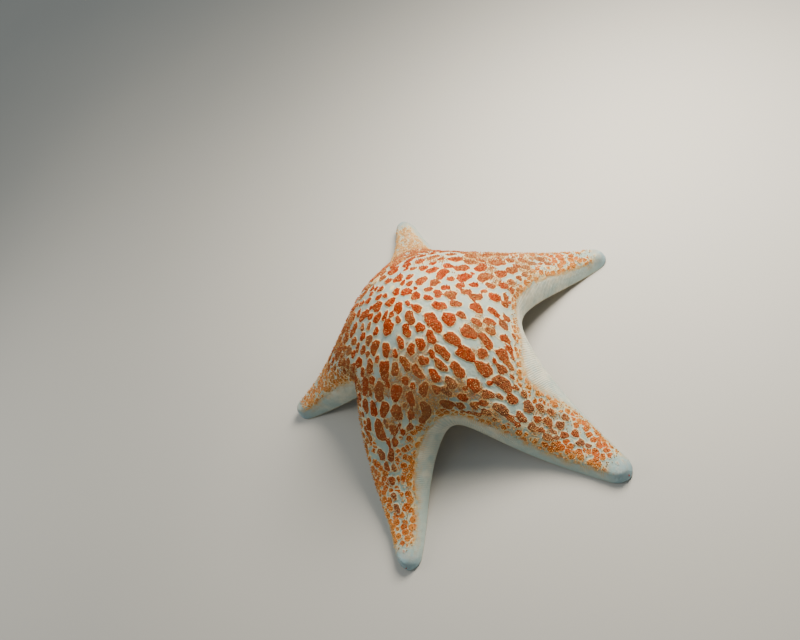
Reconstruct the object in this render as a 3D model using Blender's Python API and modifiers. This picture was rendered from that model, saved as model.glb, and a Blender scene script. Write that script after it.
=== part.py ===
"""Leather star (Dermasterias imbricata), life size, humped up on the outer parts of its five arms.

The body is one soft form. It starts as a UV sphere whose points are carried to the star's outline and thickness,
and the whole is then laid over a dome, so that the disc arches and the arms run down to the floor and lie on it.
A Decimate modifier makes it light, and thin gaps part it into the disc and its arms. The madreporite, the small
sieve plate beside the middle of the disc, sits in a socket of its own.

Plan places are polar about the mouth, with the five arms at even fifths of a turn, until turn_arms() swings each
arm to its own bearing. Metres, +Z up, the floor at z = 0. An empty shifts the whole so that the origin is on the
floor under the middle of its bounding box. Run it from Blender's text editor, or with
blender --background --python part.py.
"""

import math
from dataclasses import dataclass

import bmesh
import bpy
import numpy as np
from mathutils import Matrix, Vector

ARM_COUNT = 5
ARM_STEP = 2 * math.pi / ARM_COUNT

# Outline, measured in plan with the animal humped.
SHOULDER_HALF_WIDTH = 0.0305
TIP_HALF_WIDTH = 0.0048
ARM_REACH = 0.104
DISC_RADIUS = 0.0395
WEB_SHARPNESS = 4.8

# Thickness of the body, from the oral sheet to the back of it.
DISC_THICKNESS = 0.021
TIP_THICKNESS = 0.0066
FLANK_POWER = 0.9

# The dome that the oral side is laid over.
ARCH_HEIGHT = 0.0435
ARCH_REACH = 0.090
ARCH_POWER = 0.78

# The oral side: a slight belly, a groove along each arm and the mouth where they meet.
ORAL_BELLY = 0.0015
GROOVE_HALF_WIDTH = 0.0030
GROOVE_DEPTH = 0.0022
GROOVE_END = 0.010
MOUTH_RADIUS = 0.0065
MOUTH_DEPTH = 0.0045

# The madreporite, between the back arm and the left one, with its bearing in arm steps.
PLATE_RADIUS = 0.0031
PLATE_HEIGHT = 0.0020
PLATE_PROUD = 0.0006
PLATE_PLACE = 0.0160
PLATE_BEARING = 1.325
PLATE_SIDES = 24

# Meshing and parting.
COLUMNS = 250
RINGS = 64
COLUMN_CROWDING = 0.6
SHARE_OF_FACES = 0.21
FLAT_BELOW = 0.00025
PART_REACH = 1.03
GAP = 0.0003
CUTTER_HEIGHT = 0.12
CUTTER_REACH = 0.20


@dataclass(frozen=True)
class Arm:
    """One arm: its bearing and the turn of its tip in degrees, and its reach and width beside the others'."""

    name: str
    bearing: float
    tip_turn: float
    reach: float
    width: float


@dataclass(frozen=True)
class Finish:
    """A plain surface colour, as linear red, green and blue, with its roughness."""

    name: str
    colour: tuple
    roughness: float


ARMS = (
    Arm("arm_right", 2.0, -10.5, 0.90, 0.93),
    Arm("arm_back", 73.5, -1.5, 0.98, 1.02),
    Arm("arm_left", 150.5, 7.0, 0.86, 0.87),
    Arm("arm_front", 208.0, 16.0, 1.00, 1.10),
    Arm("arm_front_right", 281.0, 2.5, 1.02, 1.09),
)
DISC_FINISH = Finish("orange_leathery_skin", (0.56, 0.27, 0.15), 0.45)
ARM_FINISH = Finish("mottled_leathery_skin", (0.48, 0.30, 0.20), 0.45)
PLATE_FINISH = Finish("pale_sieve_plate", (0.72, 0.56, 0.30), 0.60)


def smooth_step(x):
    """A share that runs from 0 to 1 with no slope at either end."""
    x = np.clip(x, 0.0, 1.0)
    return x * x * (3.0 - 2.0 * x)


def arm_half_width(arm, along):
    """Half the width of an arm at a distance along it from the middle of the disc."""
    share = np.clip(along / (ARM_REACH * arm.reach), 0.0, 1.0)
    return (TIP_HALF_WIDTH + (SHOULDER_HALF_WIDTH - TIP_HALF_WIDTH) * (1.0 - share)) * arm.width


def arm_axes(index, x, y):
    """Distances along and across an arm, from the middle of the disc and from the arm's midline."""
    angle = index * ARM_STEP
    return x * math.cos(angle) + y * math.sin(angle), y * math.cos(angle) - x * math.sin(angle)


def arm_field(index, x, y):
    """1 on the arm's midline, 0 on its edge and below 0 outside."""
    arm = ARMS[index]
    along, across = arm_axes(index, x, y)
    past = np.maximum(0.0, along - (ARM_REACH * arm.reach - TIP_HALF_WIDTH * 1.2)) / 1.2
    behind = np.maximum(0.0, -along)
    return 1.0 - (across**2 + past**2 + behind**2) / arm_half_width(arm, along) ** 2


def body_field(x, y):
    """The arms' fields and the disc's, run together so that soft webs join them."""
    fields = [arm_field(index, x, y) for index in range(ARM_COUNT)]
    fields.append(1.0 - (x**2 + y**2) / DISC_RADIUS**2)
    power = np.exp(np.clip(WEB_SHARPNESS * np.array(fields), -60, 20)).sum(axis=0)
    return np.log(power) / WEB_SHARPNESS


def outline_radius(angle):
    """How far the outline lies from the middle on each bearing, found by halving."""
    near = np.full_like(angle, DISC_RADIUS * 0.8)
    far = np.full_like(angle, ARM_REACH * 1.2)
    for _ in range(40):
        middle = (near + far) / 2.0
        inside = body_field(middle * np.cos(angle), middle * np.sin(angle)) > 0.0
        near = np.where(inside, middle, near)
        far = np.where(inside, far, middle)
    return (near + far) / 2.0


def dome_height(radius):
    """The height of the oral sheet over the floor."""
    share = np.clip(radius / ARCH_REACH, 0.0, 1.0) ** ARCH_POWER
    return ARCH_HEIGHT * 0.5 * (1.0 + np.cos(math.pi * share))


def dome_lean(radius):
    """The outward and upward shares of the oral sheet's normal."""
    step = 1e-4
    slope = (dome_height(radius + step) - dome_height(np.abs(radius - step))) / (2.0 * step)
    size = np.hypot(slope, 1.0)
    return -slope / size, 1.0 / size


def turn_arms(angle, radius):
    """Bearings after each arm is swung to its own place and its tip is turned, with the webs sharing the swing."""
    place = np.mod(angle, 2.0 * math.pi) / ARM_STEP
    low = np.floor(place).astype(int) % ARM_COUNT
    share = smooth_step((place - np.floor(place) - 1 / 6) * 1.5)
    swing = np.radians([arm.bearing - math.degrees(ARM_STEP) * index for index, arm in enumerate(ARMS)])
    tip = np.radians([arm.tip_turn for arm in ARMS])
    turn = swing + tip * smooth_step((radius - 0.035) / 0.075)[..., None]
    low_turn = np.take_along_axis(turn, low[..., None], -1)[..., 0]
    high_turn = np.take_along_axis(turn, (low + 1)[..., None] % ARM_COUNT, -1)[..., 0]
    return angle + low_turn * (1.0 - share) + high_turn * share


def thickness(radius):
    """Thickness of the body along an arm's midline."""
    share = smooth_step(radius / ARM_REACH * 0.97)
    return TIP_THICKNESS + (DISC_THICKNESS - TIP_THICKNESS) * (1.0 - share)


def oral_hollow(x, y):
    """How deep the grooves and the mouth are cut into the oral side."""
    groove = np.zeros_like(x)
    for index, arm in enumerate(ARMS):
        along, across = arm_axes(index, x, y)
        half = GROOVE_HALF_WIDTH * (1.0 - 0.45 * np.clip(along / ARM_REACH, 0.0, 1.0))
        end = smooth_step((ARM_REACH * arm.reach - TIP_HALF_WIDTH - along) / GROOVE_END)
        wall = smooth_step((1.0 - np.abs(across) / half) * 1.6)
        groove = np.maximum(groove, wall * end * (along > 0.0))
    mouth = smooth_step((1.0 - np.hypot(x, y) / MOUTH_RADIUS) * 1.6)
    return np.maximum(GROOVE_DEPTH * groove, MOUTH_DEPTH * mouth)


def star_point(angle, share, side):
    """A point of the body: share of the way out to the outline on a bearing, on the back (1) or oral side (-1)."""
    x, y = share * outline_radius(angle) * np.cos(angle), share * outline_radius(angle) * np.sin(angle)
    field = np.clip(body_field(x, y), 0.0, 1.0)
    radius = np.hypot(x, y)
    back = thickness(radius) * (field * (2.0 - field)) ** FLANK_POWER
    oral = oral_hollow(x, y) * smooth_step(field * 2.0) - ORAL_BELLY * np.sqrt(field)
    height = np.where(side > 0, back, oral)
    outward, upward = dome_lean(radius)
    bearing = turn_arms(angle, radius)
    run = radius + height * outward
    rise = np.maximum(dome_height(radius) + height * upward, 0.0)
    return np.stack([run * np.cos(bearing), run * np.sin(bearing), rise], -1)


def notch(index, grow=1.0):
    """A plan point just outside the notch that follows an arm, where the parting cuts of two arms meet."""
    angle = np.array((index + 0.5) * ARM_STEP)
    return Vector(star_point(angle, 1.0, 1)[:2]) * PART_REACH * grow


def clear_scene():
    for old in list(bpy.data.objects):
        bpy.data.objects.remove(old, do_unlink=True)


def new_collection(name):
    collection = bpy.data.collections.new(name)
    bpy.context.scene.collection.children.link(collection)
    return collection


def new_object(name, mesh, collection, parent=None):
    thing = bpy.data.objects.new(name, mesh)
    thing.parent = parent
    collection.objects.link(thing)
    return thing


def make_helper(thing):
    """Keeps a guide or a cutter out of the finished parts."""
    thing.hide_render = True
    thing.display_type = "WIRE"
    return thing


def mesh_from(bm, name):
    mesh = bpy.data.meshes.new(name)
    bmesh.ops.recalc_face_normals(bm, faces=bm.faces)
    bm.to_mesh(mesh)
    bm.free()
    return mesh


def read_points(mesh):
    points = np.empty(len(mesh.vertices) * 3)
    mesh.vertices.foreach_get("co", points)
    return points.reshape(-1, 3)


def write_points(mesh, points):
    mesh.vertices.foreach_set("co", points.reshape(-1))
    mesh.update()


def finish(thing, surface):
    """Gives a part its own plain material."""
    material = bpy.data.materials.new(f"{thing.name}_{surface.name}")
    material.use_nodes = True
    shader = material.node_tree.nodes["Principled BSDF"]
    shader.inputs["Base Color"].default_value = (*surface.colour, 1.0)
    shader.inputs["Roughness"].default_value = surface.roughness
    shader.inputs["Metallic"].default_value = 0.0
    thing.material_slots[0].link = "OBJECT"
    thing.material_slots[0].material = material


def whole_star(helpers):
    """The undivided body, fine at first and then lightened, with its resting places brought down level."""
    bm = bmesh.new()
    bmesh.ops.create_uvsphere(bm, u_segments=COLUMNS, v_segments=RINGS, radius=1.0)
    mesh = mesh_from(bm, "whole_star")
    ball = read_points(mesh)
    angle = np.arctan2(ball[:, 1], ball[:, 0])
    angle = np.mod(angle - COLUMN_CROWDING / ARM_COUNT * np.sin(ARM_COUNT * angle), 2.0 * math.pi)
    share = np.minimum(np.hypot(ball[:, 0], ball[:, 1]), 1.0)
    write_points(mesh, star_point(angle, share, np.where(ball[:, 2] > -1e-6, 1, -1)))
    fine = make_helper(new_object("whole_star", mesh, helpers))
    lighten = fine.modifiers.new("lighten", "DECIMATE")
    lighten.ratio = SHARE_OF_FACES
    graph = bpy.context.evaluated_depsgraph_get()
    light = bpy.data.meshes.new_from_object(fine.evaluated_get(graph))
    light.name = "body"
    points = read_points(light)
    points[points[:, 2] < FLAT_BELOW, 2] = 0.0
    write_points(light, points)
    light.shade_smooth()
    light.materials.append(None)
    return light


def prism(name, corners, collection, parent):
    """An upright cutter over a plan outline, from below the floor to above the body."""
    bm = bmesh.new()
    outline = bm.faces.new([bm.verts.new((*corner, -0.01)) for corner in corners])
    walls = bmesh.ops.extrude_face_region(bm, geom=[outline])["geom"]
    top = [item for item in walls if isinstance(item, bmesh.types.BMVert)]
    bmesh.ops.translate(bm, verts=top, vec=(0.0, 0.0, CUTTER_HEIGHT))
    return make_helper(new_object(name, mesh_from(bm, name), collection, parent))


def cut(thing, operation, cutter):
    modifier = thing.modifiers.new(cutter.name, "BOOLEAN")
    modifier.operation = operation
    modifier.solver = "EXACT"
    modifier.object = cutter


def part_disc(body, parts, cutters, parent):
    """The disc, out to the cuts across the arms' roots."""
    disc = new_object("disc", body, parts, parent)
    inset = 1.0 - GAP / 2.0 / DISC_RADIUS
    corners = [notch(index, inset) for index in range(ARM_COUNT)]
    cut(disc, "INTERSECT", prism("disc_cut", corners, cutters, parent))
    finish(disc, DISC_FINISH)
    return disc


def part_arms(body, parts, cutters, parent):
    """Each arm, from the cut across its root to its tip."""
    outset = 1.0 + GAP / 2.0 / DISC_RADIUS
    for index, arm in enumerate(ARMS):
        before, after = notch(index - 1, outset), notch(index, outset)
        corners = [before, before.normalized() * CUTTER_REACH, after.normalized() * CUTTER_REACH, after]
        limb = new_object(arm.name, body, parts, parent)
        cut(limb, "INTERSECT", prism(f"{arm.name}_cut", corners, cutters, parent))
        finish(limb, ARM_FINISH)


def plate_frame():
    """Where the madreporite sits on the back, as a matrix with its third axis along the skin's normal."""
    angle, step = PLATE_BEARING * ARM_STEP, 0.02
    share = PLATE_PLACE / float(outline_radius(np.array(angle)))
    place = star_point(np.array(angle), share, 1)
    out = Vector(star_point(np.array(angle), share + step, 1) - place)
    along = Vector(star_point(np.array(angle + step), share, 1) - place)
    turn = out.cross(along).normalized().to_track_quat("Z", "Y").to_matrix().to_4x4()
    return Matrix.Translation(Vector(place)) @ turn


def drum(name, radius, low, high, collection, parent):
    """An upright drum between two heights on its own axis."""
    bm = bmesh.new()
    bmesh.ops.create_cone(
        bm, segments=PLATE_SIDES, radius1=radius, radius2=radius, depth=high - low, cap_ends=True
    )
    bmesh.ops.translate(bm, verts=bm.verts, vec=(0.0, 0.0, (high + low) / 2.0))
    drum_object = new_object(name, mesh_from(bm, name), collection, parent)
    drum_object.matrix_local = plate_frame()
    return drum_object


def seat_madreporite(disc, parts, cutters, parent):
    """The sieve plate, with its upper rim rounded over, and the socket in the disc that it sits in."""
    foot = PLATE_PROUD - PLATE_HEIGHT
    plate = drum("madreporite", PLATE_RADIUS, foot, PLATE_PROUD, parts, parent)
    rounding = plate.modifiers.new("rounding", "BEVEL")
    rounding.width = PLATE_PROUD
    rounding.segments = 3
    rounding.limit_method = "ANGLE"
    plate.data.materials.append(None)
    finish(plate, PLATE_FINISH)
    socket = drum("madreporite_socket", PLATE_RADIUS + GAP, foot - GAP, PLATE_HEIGHT, cutters, parent)
    cut(disc, "DIFFERENCE", make_helper(socket))


def main():
    clear_scene()
    parts = new_collection("leather_star")
    cutters = new_collection("leather_star_cutters")
    body = whole_star(cutters)
    points = read_points(body)
    middle = (points.min(axis=0) + points.max(axis=0)) / 2.0
    centre = new_object("leather_star_centre", None, parts)
    centre.location = (-middle[0], -middle[1], 0.0)
    disc = part_disc(body, parts, cutters, centre)
    part_arms(body, parts, cutters, centre)
    seat_madreporite(disc, parts, cutters, centre)


if __name__ == "__main__":
    main()
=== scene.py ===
"""Looks of a leather star (Dermasterias imbricata), a still, life-size model humped up on its arms.

One skin stands for the disc and the five arms. It is drawn from the same sizes as the solids that it
replaces and lies a little inside them. The skin carries the star's markings as attributes, such as how far
each point is inside a blotch, how far in from the margin it is, and how near an arm's tip. The breathing
tubes, the sieve plate, the tube feet, the spines of the grooves, the jaws and the eyespots are pieces of
their own.
"""

import logging
import math
from dataclasses import dataclass
from enum import Enum
from functools import cached_property, partial, reduce
from typing import Any

import bmesh
import bpy
import numpy as np
from mathutils import Matrix, Vector, noise
from mathutils.kdtree import KDTree


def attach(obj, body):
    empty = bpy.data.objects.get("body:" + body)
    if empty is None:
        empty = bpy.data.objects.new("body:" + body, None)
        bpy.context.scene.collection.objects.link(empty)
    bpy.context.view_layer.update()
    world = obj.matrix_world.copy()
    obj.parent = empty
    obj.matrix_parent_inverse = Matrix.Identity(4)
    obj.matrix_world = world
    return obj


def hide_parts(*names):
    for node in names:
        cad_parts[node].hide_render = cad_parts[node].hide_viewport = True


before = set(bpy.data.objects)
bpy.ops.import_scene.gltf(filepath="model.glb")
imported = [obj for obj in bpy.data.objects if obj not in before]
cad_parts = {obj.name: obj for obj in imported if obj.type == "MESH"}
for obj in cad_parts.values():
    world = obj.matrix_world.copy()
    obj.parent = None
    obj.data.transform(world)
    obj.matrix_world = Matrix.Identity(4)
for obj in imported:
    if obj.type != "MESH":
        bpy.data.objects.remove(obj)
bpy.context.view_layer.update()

LOG = logging.getLogger("leather_star")
SEED = 20
MM = 0.001
MOSAIC_RANDOMNESS = 0.75
Vector3 = tuple[float, float, float]
FLESH_NODES = ("disc", "arm_right", "arm_back", "arm_left", "arm_front", "arm_front_right")


class Side(Enum):
    """The two faces of the star."""

    BACK = 1
    ORAL = -1


@dataclass(frozen=True)
class Arm:
    """One arm: its bearing and the turn of its tip in degrees, its reach and width, and its colours.

    Its reach, its width and the spread of its mosaic are shares of what is usual for the five. How far its
    outer part is bleached runs from 0 to 1.
    """

    name: str
    bearing: float
    tip_turn: float
    reach: float
    width: float
    mosaic: float
    bleach: float


def smooth_step(value: np.ndarray) -> np.ndarray:
    """A share that runs from 0 to 1 with no slope at either end.

    Args:
        value: Shares, clipped to between 0 and 1.

    Returns:
        The eased shares.
    """
    value = np.clip(value, 0.0, 1.0)
    return value * value * (3.0 - 2.0 * value)


def come_in(distance: np.ndarray, stretch: tuple[float, float]) -> np.ndarray:
    """A share that rises from 0 to 1 from the start of a stretch over its run."""
    return smooth_step((distance - stretch[0]) / stretch[1])


def go_out(distance: np.ndarray, stretch: tuple[float, float]) -> np.ndarray:
    """A share that falls from 1 to 0 over the run that leads to the end of a stretch."""
    return smooth_step((stretch[0] - distance) / stretch[1])


@dataclass(frozen=True)
class StarForm:
    """The star's own shape, in metres, on the same sizes as its solids.

    Plan places are polar about the mouth, with the five arms at even fifths of a turn, until each arm is
    swung to its own bearing.
    """

    arms: tuple[Arm, ...] = (
        Arm("arm_right", 2.0, -10.5, 0.90, 0.93, 1.0, 0.0),
        Arm("arm_back", 73.5, -1.5, 0.98, 1.02, 1.2, 0.70),
        Arm("arm_left", 150.5, 7.0, 0.86, 0.87, 1.3, 0.25),
        Arm("arm_front", 208.0, 16.0, 1.00, 1.10, 1.4, 0.0),
        Arm("arm_front_right", 281.0, 2.5, 1.02, 1.09, 0.8, 0.0),
    )
    shoulder_half_width: float = 0.0305
    tip_half_width: float = 0.0048
    arm_reach: float = 0.104
    disc_radius: float = 0.0395
    web_sharpness: float = 4.8
    disc_thickness: float = 0.021
    tip_thickness: float = 0.0066
    flank_power: float = 0.9
    arch_height: float = 0.0435
    arch_reach: float = 0.090
    arch_power: float = 0.78
    oral_belly: float = 0.0015
    groove_half_width: float = 0.0030
    groove_taper: float = 0.45
    groove_depth: float = 0.0022
    groove_end: float = 0.010
    mouth_radius: float = 0.0065
    mouth_depth: float = 0.0045
    inset: float = 0.0002
    bend_starts: float = 0.035
    bend_run: float = 0.075
    outline_bearings: int = 7201
    outline_halvings: int = 34

    @property
    def step(self) -> float:
        """The turn from one arm to the next, before they are swung."""
        return 2.0 * math.pi / len(self.arms)

    def reach_of(self, index: int) -> float:
        """How far an arm reaches in plan."""
        return self.arm_reach * self.arms[index].reach

    def half_width(self, index: int, along: np.ndarray) -> np.ndarray:
        """Half the width of an arm at a distance along it.

        Args:
            index: Which arm.
            along: Distances from the middle of the disc.

        Returns:
            The half widths.
        """
        share = np.clip(along / self.reach_of(index), 0.0, 1.0)
        taper = (self.shoulder_half_width - self.tip_half_width) * (1.0 - share)
        return (self.tip_half_width + taper) * self.arms[index].width

    def axes(self, index: int, x: np.ndarray, y: np.ndarray) -> tuple[np.ndarray, np.ndarray]:
        """Distances along and across an arm.

        Args:
            index: Which arm.
            x: Plan places before the arms are swung.
            y: The same, across.

        Returns:
            The distances along the arm's midline and off it to the left.
        """
        angle = index * self.step
        return x * math.cos(angle) + y * math.sin(angle), y * math.cos(angle) - x * math.sin(angle)

    def field(self, x: np.ndarray, y: np.ndarray) -> np.ndarray:
        """The body's field: over 0 inside the outline, and 1 along the arms' midlines.

        Args:
            x: Plan places before the arms are swung.
            y: The same, across.

        Returns:
            The field.
        """
        fields = [1.0 - (x**2 + y**2) / self.disc_radius**2]
        for index in range(len(self.arms)):
            along, across = self.axes(index, x, y)
            past = np.maximum(0.0, along - (self.reach_of(index) - self.tip_half_width * 1.2)) / 1.2
            behind = np.maximum(0.0, -along)
            fields.append(1.0 - (across**2 + past**2 + behind**2) / self.half_width(index, along) ** 2)
        power = np.exp(np.clip(self.web_sharpness * np.array(fields), -60, 20)).sum(axis=0)
        return np.log(power) / self.web_sharpness

    @cached_property
    def outline_table(self) -> tuple[np.ndarray, np.ndarray]:
        """The outline before the arms are swung, found by halving.

        Returns:
            Bearings all round, and how far from the middle the outline lies on each.
        """
        angle = np.linspace(0.0, 2.0 * math.pi, self.outline_bearings)
        near = np.full_like(angle, self.disc_radius * 0.8)
        far = np.full_like(angle, self.arm_reach * 1.2)
        for _ in range(self.outline_halvings):
            middle = (near + far) / 2.0
            inside = self.field(middle * np.cos(angle), middle * np.sin(angle)) > 0.0
            near = np.where(inside, middle, near)
            far = np.where(inside, far, middle)
        return angle, (near + far) / 2.0

    def outline(self, angle: np.ndarray) -> np.ndarray:
        """How far the outline lies from the middle on each bearing, before the arms are swung."""
        return np.interp(np.mod(angle, 2.0 * math.pi), *self.outline_table)

    def arch(self, radius: np.ndarray) -> np.ndarray:
        """The height of the oral sheet over the floor at a distance from the middle."""
        share = np.clip(radius / self.arch_reach, 0.0, 1.0) ** self.arch_power
        return self.arch_height * 0.5 * (1.0 + np.cos(math.pi * share))

    def thickness(self, radius: np.ndarray) -> np.ndarray:
        """The body's thickness along an arm's midline."""
        share = smooth_step(radius / self.arm_reach * 0.97)
        return self.tip_thickness + (self.disc_thickness - self.tip_thickness) * (1.0 - share)

    def swing(self, angle: np.ndarray, radius: np.ndarray) -> np.ndarray:
        """Bearings after each arm is swung to its own place and its tip is turned.

        Args:
            angle: Bearings before the swing.
            radius: Distances from the middle.

        Returns:
            The final bearings.
        """
        place = np.mod(angle, 2.0 * math.pi) / self.step
        low = np.floor(place).astype(int) % len(self.arms)
        share = smooth_step((place - np.floor(place) - 1 / 6) * 1.5)
        turn = np.radians([arm.bearing - math.degrees(self.step) * i for i, arm in enumerate(self.arms)])
        tip = np.radians([arm.tip_turn for arm in self.arms])
        full = turn + tip * smooth_step((radius - self.bend_starts) / self.bend_run)[..., None]
        before = np.take_along_axis(full, low[..., None], -1)[..., 0]
        after = np.take_along_axis(full, (low + 1)[..., None] % len(self.arms), -1)[..., 0]
        return angle + before * (1.0 - share) + after * share

    def groove_half(self, along: np.ndarray) -> np.ndarray:
        """Half the width of a groove at a distance along an arm."""
        share = np.clip(along / self.arm_reach, 0.0, 1.0)
        return self.groove_half_width * (1.0 - self.groove_taper * share)

    def hollow(self, x: np.ndarray, y: np.ndarray) -> np.ndarray:
        """How deep the grooves and the mouth are cut into the oral side.

        Args:
            x: Plan places before the arms are swung.
            y: The same, across.

        Returns:
            The depths.
        """
        groove = np.zeros_like(x)
        for index in range(len(self.arms)):
            along, across = self.axes(index, x, y)
            half = self.groove_half(along)
            end = smooth_step((self.reach_of(index) - self.tip_half_width - along) / self.groove_end)
            wall = smooth_step((1.0 - np.abs(across) / half) * 1.6)
            groove = np.maximum(groove, wall * end * (along > 0.0))
        mouth = smooth_step((1.0 - np.hypot(x, y) / self.mouth_radius) * 1.6)
        return np.maximum(self.groove_depth * groove, self.mouth_depth * mouth)

    def surface(self, angle: np.ndarray, share: np.ndarray, side: np.ndarray) -> np.ndarray:
        """Points of the skin about the mouth, on the floor's own level.

        Args:
            angle: Bearings before the arms are swung.
            share: Shares of the way out to the outline.
            side: 1 on the back and -1 on the oral side.

        Returns:
            The points, with a last axis of three.
        """
        reach = share * (self.outline(angle) - self.inset)
        x, y = reach * np.cos(angle), reach * np.sin(angle)
        field = np.clip(self.field(x, y), 0.0, 1.0)
        back = self.thickness(reach) * (field * (2.0 - field)) ** self.flank_power - self.inset
        oral = self.hollow(x, y) * smooth_step(field * 2.0) - self.oral_belly * np.sqrt(field) + self.inset
        height = np.where(side > 0, back, oral)
        slope = (self.arch(reach + 1e-4) - self.arch(np.abs(reach - 1e-4))) / 2e-4
        size = np.hypot(slope, 1.0)
        bearing = self.swing(angle, reach)
        run = reach - height * slope / size
        rise = np.maximum(self.arch(reach) + height / size, 0.0)
        return np.stack([run * np.cos(bearing), run * np.sin(bearing), rise], -1)

    @cached_property
    def middle(self) -> np.ndarray:
        """Where the mouth's axis meets the floor, with the bounding box centred on the origin.

        Returns:
            The place.
        """
        angle = np.linspace(0.0, 2.0 * math.pi, 1441)
        rim = self.surface(angle, np.ones_like(angle), np.ones_like(angle))
        return -np.array([*(rim.min(axis=0) + rim.max(axis=0))[:2] / 2.0, 0.0])

    def arm_points(self, index: int, along: np.ndarray, across: np.ndarray, side: Side) -> np.ndarray:
        """Points of the skin at places on one arm.

        Args:
            index: Which arm.
            along: Distances along the arm from the middle of the disc, in plan.
            across: Distances off the midline to the left, in plan.
            side: The back or the oral side.

        Returns:
            The points, in the object's own place.
        """
        angle = np.arctan2(across, along) + index * self.step
        share = np.minimum(np.hypot(along, across) / self.outline(angle), 1.0)
        return self.surface(angle, share, np.full_like(angle, side.value)) + self.middle

    def seats(self, index: int, along: np.ndarray, across: np.ndarray, side: Side) -> list[Matrix]:
        """Places on the skin, to set small pieces on.

        Args:
            index: Which arm.
            along: Distances along the arm from the middle of the disc, in plan.
            across: Distances off the midline to the left, in plan.
            side: The back or the oral side.

        Returns:
            Matrices with their origin on the skin, their first axis along the arm and their third outwards.
        """
        near = 2e-4
        along, across = np.broadcast_arrays(np.asarray(along, dtype=float), np.asarray(across, dtype=float))
        points = self.arm_points(index, along, across, side)
        ahead = self.arm_points(index, along + near, across, side)
        beside = self.arm_points(index, along, across + near, side)
        made = []
        for point, first, second in zip(points, ahead - points, beside - points, strict=True):
            forward = Vector(first / np.linalg.norm(first))
            outward = (forward.cross(Vector(second / np.linalg.norm(second))) * side.value).normalized()
            turn = Matrix((forward, outward.cross(forward), outward)).transposed().to_4x4()
            made.append(Matrix.Translation(Vector(point)) @ turn)
        return made

    def seat(self, index: int, along: float, across: float, side: Side) -> Matrix:
        """One place on the skin, as seats gives many."""
        return self.seats(index, np.array([along]), np.array([across]), side)[0]


@dataclass(frozen=True)
class Blotch:
    """One blotch of breathing skin: its place, its axes and its shape."""

    place: np.ndarray
    forward: np.ndarray
    sideways: np.ndarray
    half_length: float
    half_width: float
    tone: float
    lobes: tuple[float, float, float, float]


class Row(Enum):
    """The rows of blotches on an arm, by their share of the half width and the size of their blotches."""

    MIDLINE = (0.0, 1.0)
    LEFT = (0.35, 0.84)
    RIGHT = (-0.35, 0.84)
    OUTER_LEFT = (0.60, 0.62)
    OUTER_RIGHT = (-0.60, 0.62)
    WEB_LEFT = (0.92, 0.70)
    WEB_RIGHT = (-0.92, 0.70)

    @property
    def share(self) -> float:
        """The row's share of the half width, to the left."""
        return self.value[0]

    @property
    def size(self) -> float:
        """The size of the row's blotches beside the midline's."""
        return self.value[1]


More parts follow.
